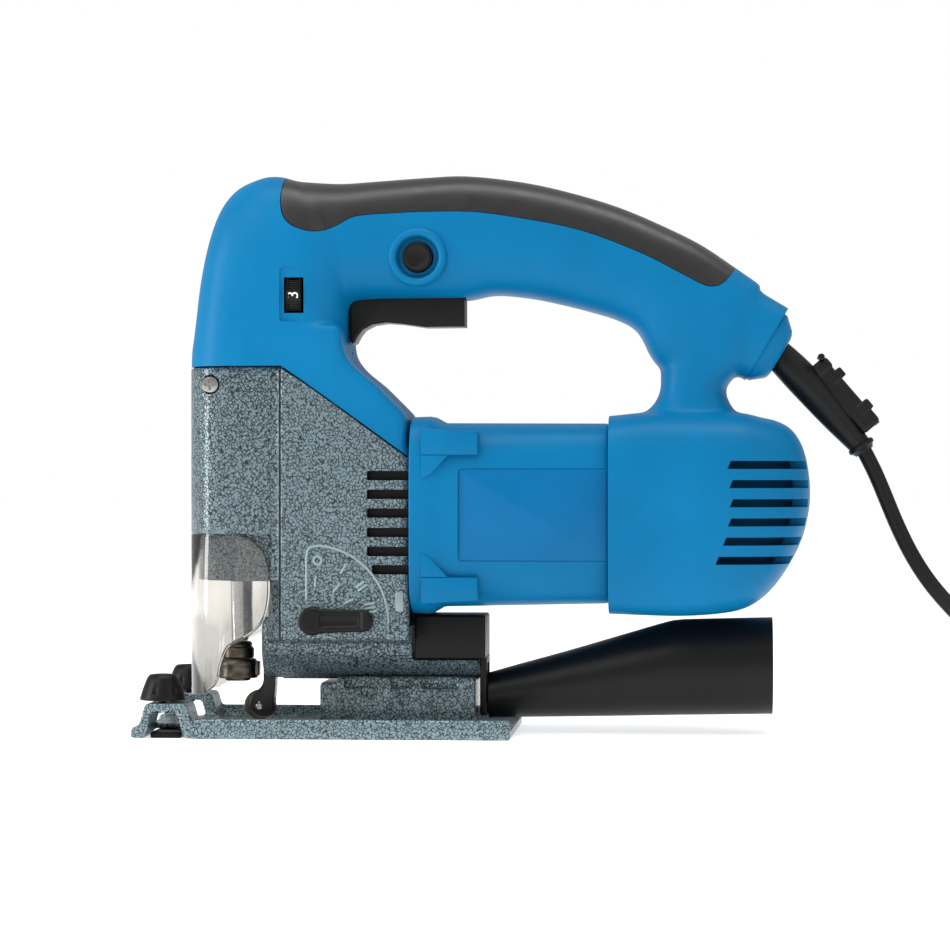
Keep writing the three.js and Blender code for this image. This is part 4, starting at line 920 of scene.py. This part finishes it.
# ------------------------ plunger, clamp and roller
axis = (PLUNGER_X, 0, 0)
done(rod("z", 4.05, 33.7, 138, axis, 0.6), STEEL, "plunger", "plunger", "plunger_bar")
UPPER_RING = [(0, 27.2), (5.6, 27.2), (6, 27.6), (6, 30.6), (5.7, 31.1), (5.2, 31.5), (5.2, 32), (5.5, 32.3),
              (5.2, 32.8), (4.6, 33.4), (0, 33.4)]
done(turned(UPPER_RING, "z", axis, 72), CLAMP, "plunger", "clamp_collar", "clamp_upper_ring")
LOWER_RING = [(0, 18.8), (4.4, 18.8), (5, 19.8), (7.1, 19.8), (7.5, 20.2), (7.5, 21), (7.35, 21.3),
              (7.35, 24.3), (7.5, 24.6), (7.5, 25.5), (6.9, 26.4), (6.5, 26.9), (0, 26.9)]
jaw = blank("clamp_ring", turned(LOWER_RING, "z", axis, 72))
joined(jaw, block(PLUNGER_X, PLUNGER_X + 8.2, -2.6, 2.6, 20.6, 26, 0.5))
cut(jaw, block(PLUNGER_X - 2, PLUNGER_X + 5, -0.8, 0.8, 10, 25))
done(jaw, CLAMP, "plunger", "clamp_body")

ROLLER = (-80.6, 0, 9.6)
fork = blank("fork_arm", prism([(-79, 46.5), (-79, 17.5), (-83.6, 13), (-84.6, 8.6), (-81, 5.2), (-75.8, 5.2),
                                (-74.6, 16), (-74, 46.5)], "y", -3.9, 3.9, 0.6, 3, 1.8))
cut(fork, rod("y", 6.3, -2.5, 2.5, ROLLER), block(-92, -80, -2.5, 2.5, 0, 14),
    rod("y", 1.5, -8, 8, ROLLER), rod("y", 1.8, -8, 8, FORK_PIN))
done(fork, ROLLER_BLACK, "fork", "roller_fork")
# One half of the grooved rim, mirrored for the other.
RIM = [(1.5, -2.2), (5.3, -2.2), (5.8, -1.7), (5.8, -0.9), (5.1, -0.25)]
done(turned(RIM + [(r, -y) for r, y in reversed(RIM)], "y", ROLLER, 72), CLAMP, "roller", "guide_roller",
     "grooved_roller")
done(rod("y", 1.2, -4.3, 4.3, ROLLER, 0.35, 32), STEEL, "fork", "roller_pin", "roller_rivet")

# ------------------------ orbit selector
lever = blank("orbit_grip",
              prism([(-59.5, 37.7), (-37, 38.4), (-34.9, 42.2), (-37, 46.2), (-59.5, 46.7), (-61.6, 42.2)],
                    "y", -31.6, -28.6, 0.8, 4, 2.6),
              rod("y", 5.2, -31.9, -28.3, ORBIT, 0.8),
              block(-39.6, -36.6, -32.4, -29, 38.6, 46, 0.8))
fused(lever, 0.4, 3)
cut(lever, block(-55, -40.4, -40, -31.2, 40, 44.4, 0.9))
done(lever, BLACK, "orbit_selector", "orbit_lever")

# ------------------------ shoe
SHOE_HALF, SHOE_END = 39.5, 14.6
FENCE_X, FENCE_Y = -112.2, 30
BEVEL_X = -42
ARCH = [(-122.6, 0.3), (-122.2, 4.2), (-119.6, 4.6), (-117.2, 12.7), (-102.2, 12.7), (-99.4, 3.2),
        (-99.2, 0.2)]
ARCH_INSIDE = [(-117.6, -1), (-114.6, 9.9), (-105.9, 9.9), (-103, -1)]
shoe = blank("shoe_pressing", block(-100, SHOE_END, -SHOE_HALF + 0.5, SHOE_HALF - 0.5, 0.2, 3),
             block(-119.5, -99, -20.8, 20.8, 2.4, 4.2), block(-101.6, -99, -20.8, 20.8, 0.2, 4.2))
for side in (-1, 1):
    near, far = sorted((side * 20.5, side * SHOE_HALF))
    arch = blank("arch", prism(ARCH, "y", near, far, 0.5, 2, 1.1))
    cut(arch, prism(ARCH_INSIDE, "y", near - 1, far + 1, 0, 1, 0.8))
    rail = [(side * y, z) for y, z in ((35.6, 0), (SHOE_HALF, 0), (SHOE_HALF, 4.4), (38.3, 7.2), (36.6, 7.2),
                                       (35.6, 3))]
    joined(shoe, prism(rail, "x", -101, SHOE_END, 0.8, 2), arch)
cut(shoe, prism([(-98.6, -16.5), (-70, -16.5), (-70, 16.5), (-98.6, 16.5)], "z", -2, 8, 0, 1, 4, 8),
    block(-112, -98, -5, 5, -2, 8, 1))
fused(shoe, 0.62, 2)
for side in (-1, 1):
    cut(shoe, rod("z", 2, 0, 20, (FENCE_X, side * FENCE_Y, 0)))
cut(shoe, rod("z", 2.6, -1, 5, (BEVEL_X, 0, 0)))
done(shoe, PLATE, "shoe", "shoe_plate")
done(prism([(-116, -35.6), (-104.6, -35.6), (-104.6, 35.6), (-116, 35.6)], "z", 0, 2.1, 0.5, 3, 1.2),
     BLACK, "shoe", "sole_pad", "sole_strip")

BRACKET_HALF = 13.6
RIBS = [(-50.6, -47.6), (-35, -30.6), (-22.6, -19.4), (-5.6, 0.4)]
bracket = blank("tilt_bracket_casting", block(-50.6, 0.4, -BRACKET_HALF, BRACKET_HALF, 3.3, 16.8, 0.4),
                block(-57, -49, 2 - BRACKET_HALF, BRACKET_HALF - 2, 3.3, 18.8, 0.8),
                *[block(x0, x1, -BRACKET_HALF - 0.3, BRACKET_HALF + 0.3, 3.4, 20.8, 0.5) for x0, x1 in RIBS])
joined(bracket, block(-50.4, 0.2, -10.5, 10.5, 12, 21, 0.3))
fused(bracket, 0.6, 2)
pockets = [block(x0, x1, *sorted((side * 12.2, side * 20)), 13.4, 24, 0.4)
           for x0, x1 in ((-41.6, -36.6), (-29, -24)) for side in (-1, 1)]
cut(bracket, rod("x", NECK_R + GAP, -70, 20, (0, 0, TILT_Z), 0, 96), block(-47, -36, -7, 7, 2, 30),
    rod("z", 2.6, 0, 30, (BEVEL_X, 0, 0)), *pockets)
done(bracket, CASTING, "shoe", "tilt_bracket")
done(rod("z", 2.3, 1.2, 17, (BEVEL_X, 0, 0), 0.4, 40), SCREW, "shoe", "bevel_screw",
     "tilt_lock_screw")

# ------------------------ fence thumb screws
THREAD = [(0, 8.8), (2.4, 8.8), (2.4, 9.7), (1.4, 9.7)]
THREAD += [(r, 9.9 + 0.42 * k + h) for k in range(10) for r, h in ((1.4, 0), (1.7, 0.2))]
THREAD += [(1.4, 14.5), (0, 14.5)]
KNOB = [(0, 14.9), (7.3, 14.9), (7.5, 13.5), (8.2, 13.5), (8.3, 14.2), (7.9, 15.4), (6.9, 18.4), (5.8, 21.2),
        (5.2, 22.2), (4.4, 22.8), (3.4, 22.9), (3, 22.5), (0, 22.5)]
for name, y in (("left", -FENCE_Y), ("right", FENCE_Y)):
    at = (FENCE_X, y, 0)
    knob = blank(name + "_knob_cap", turned(KNOB, "z", at, 72))
    flutes = [rod("z", 1.5, 15.8, 26, (FENCE_X + 8.2 * math.cos(a), y + 8.2 * math.sin(a), 0), 0, 20)
              for a in (2 * math.pi * k / 6 + 0.3 for k in range(6))]
    cut(knob, blank("flutes", *flutes))
    rounded(knob, 0.3, 2, 30)
    done(knob, BLACK, name + "_thumb_screw", name + "_fence_knob")
    done(turned(THREAD, "z", at, 32), STEEL, name + "_thumb_screw", name + "_fence_screw",
         name + "_thread")

# ------------------------ trigger, lock button and speed dial
finger = prism([(-46.6, 170), (-46.4, 145.4), (-45.6, 143.4), (-44.6, 144), (-43.5, 146.2), (-41.6, 148.7),
                (-38, 150.6), (-33, 151.3), (-27, 150.8), (-18.5, 149.6), (-4, 149.7), (-4, 164), (-30, 164),
                (-32, 170)], "y", -7.4, 7.4, 0.8, 4)
done(finger, BLACK, "trigger", "trigger", "trigger_finger")
button = turned([(0, -19), (3.6, -19), (4.1, -19.3), (4.9, -19.15), (5.4, -18.6), (5.4, -13.5), (2.6, -13.3),
                 (2.6, -7), (0, -7)], "y", LOCK, 72)
done(button, BLACK, "lock_button", "lock_button", "lock_button_cap")
WHEEL = [(2, -2.8), (8.9, -2.8), (9.4, -2.5), (9.4, -1.9), (9, -1.6)]
wheel = blank("dial_wheel", turned(WHEEL + [(r, -x) for r, x in reversed(WHEEL)], "x", DIAL, 96))
NUMBERS, TOOTH_STEP = 6, 6
SPACING = 360 // NUMBERS


def round_dial(degrees):
    return Matrix.Translation(DIAL) @ Matrix.Rotation(math.radians(degrees), 4, "X")


teeth = [moved(block(-3.2, 3.2, 8.6, 12, -0.32, 0.32), round_dial(turn + between))
         for turn in range(0, 360, SPACING) for between in range(15, 46, TOOTH_STEP)]
cut(wheel, blank("teeth", *teeth))
done(wheel, BLACK, "speed_dial", "speed_dial")
for k in range(NUMBERS):
    text = bpy.data.curves.new("number", "FONT")
    text.body, text.size, text.extrude = str(k + 1), 6, 0.12
    text.align_x, text.align_y = "CENTER", "CENTER"
    sketch = add_object("number", text)
    figure = bpy.data.meshes.new_from_object(sketch.evaluated_get(bpy.context.evaluated_depsgraph_get()))
    bpy.data.objects.remove(sketch)
    figure.transform(round_dial(SPACING * (k - 2)) @ Matrix.Translation((0, -9.08, 0))
                     @ Matrix.Rotation(math.pi / 2, 4, "X") @ Matrix.Rotation(math.pi / 2, 4, "Z"))
    done(add_object(f"dial_number_{k + 1}", figure), MARK_WHITE, "speed_dial", ())

# ------------------------ dust duct and spout
DUCT_HALF = 13
duct = blank("duct_elbow", block(-22, 4, -DUCT_HALF, DUCT_HALF, 27.5, 43.8, 0.9))
cut(duct, block(-20, 2, 2.4 - DUCT_HALF, DUCT_HALF - 2.4, 29.5, 42))
joined(duct, block(1.8, 4.3, -9, 9, 7, 28.5, 0.5))
cut(duct, rod("x", 5, -30, -19, (0, 0, 36)), block(0, 10, -6, 6, 10.5, 26, 0.5))
done(duct, BLACK, "root", "dust_duct")
# Each row is (x, top z, lower z, half width).
SPOUT_ROWS = [(4.8, 22.2, 5.4, 9.5), (16, 25.4, 5.7, 10.8), (34, 30.4, 6, 13.2), (56, 36.9, 6.4, 15.9),
              (70, 41, 6.7, 17.2), (75, 41.9, 6.8, 17.5), (82, 42.2, 6.9, 17.7), (106.6, 42.8, 7.3, 17.8),
              (108.2, 42.8, 7.3, 17.8), (108.9, 42.4, 7.7, 17.4)]
SPOUT_SQUARENESS = 2.1


def spout_skin(inset, start, stop):
    """The spout's form drawn in by inset, from start to stop along X."""
    rows = [(x, z1 - inset, z0 + inset, half - inset, SPOUT_SQUARENESS) for x, z1, z0, half in SPOUT_ROWS]
    rows[0] = (start,) + rows[0][1:]
    rows[-1] = (stop,) + rows[-1][1:]
    return loft([lying(r) for r in flowing(rows, 4)], 96)


spout = blank("spout_tube", spout_skin(0, 4.8, 108.9))
cut(spout, spout_skin(1.9, 3, 112), block(0, 9, -6, 6, 9, 19, 0.6))
rounded(spout, 0.3, 2, 50)
done(spout, BLACK, "spout", "dust_spout")

# ------------------------ inside the casing
# A black strip behind the gear housing's vents on each side is painted shade: it keeps the inside dark.
vent_shade_strip = blank("vent_painted_shade", block(-40, -23.4, -22.8, -21.6, 56.6, 98),
               block(-40, -23.4, 21.6, 22.8, 56.6, 98))
done(vent_shade_strip, BLACK, "root", ())
# Pieces out of sight keep their packed form and take a finish.
INSIDE = {
    STEEL: "scotch_yoke crank_gear gear_axle armature_shaft front_bearing rear_bearing fork_pin",
    COPPER: "front_field_coil rear_field_coil commutator",
    CORE: "stator_core armature_core bearing_plate",
    BRONZE: "lower_bushing upper_bushing left_brush_holder right_brush_holder",
    CARBON: "left_carbon_brush right_carbon_brush",
    BLACK: "cooling_fan brush_carrier switch_body",
}
for finish, names in INSIDE.items():
    for name in names.split():
        slots = nodes[name].data.materials
        slots.clear()
        slots.append(finish)
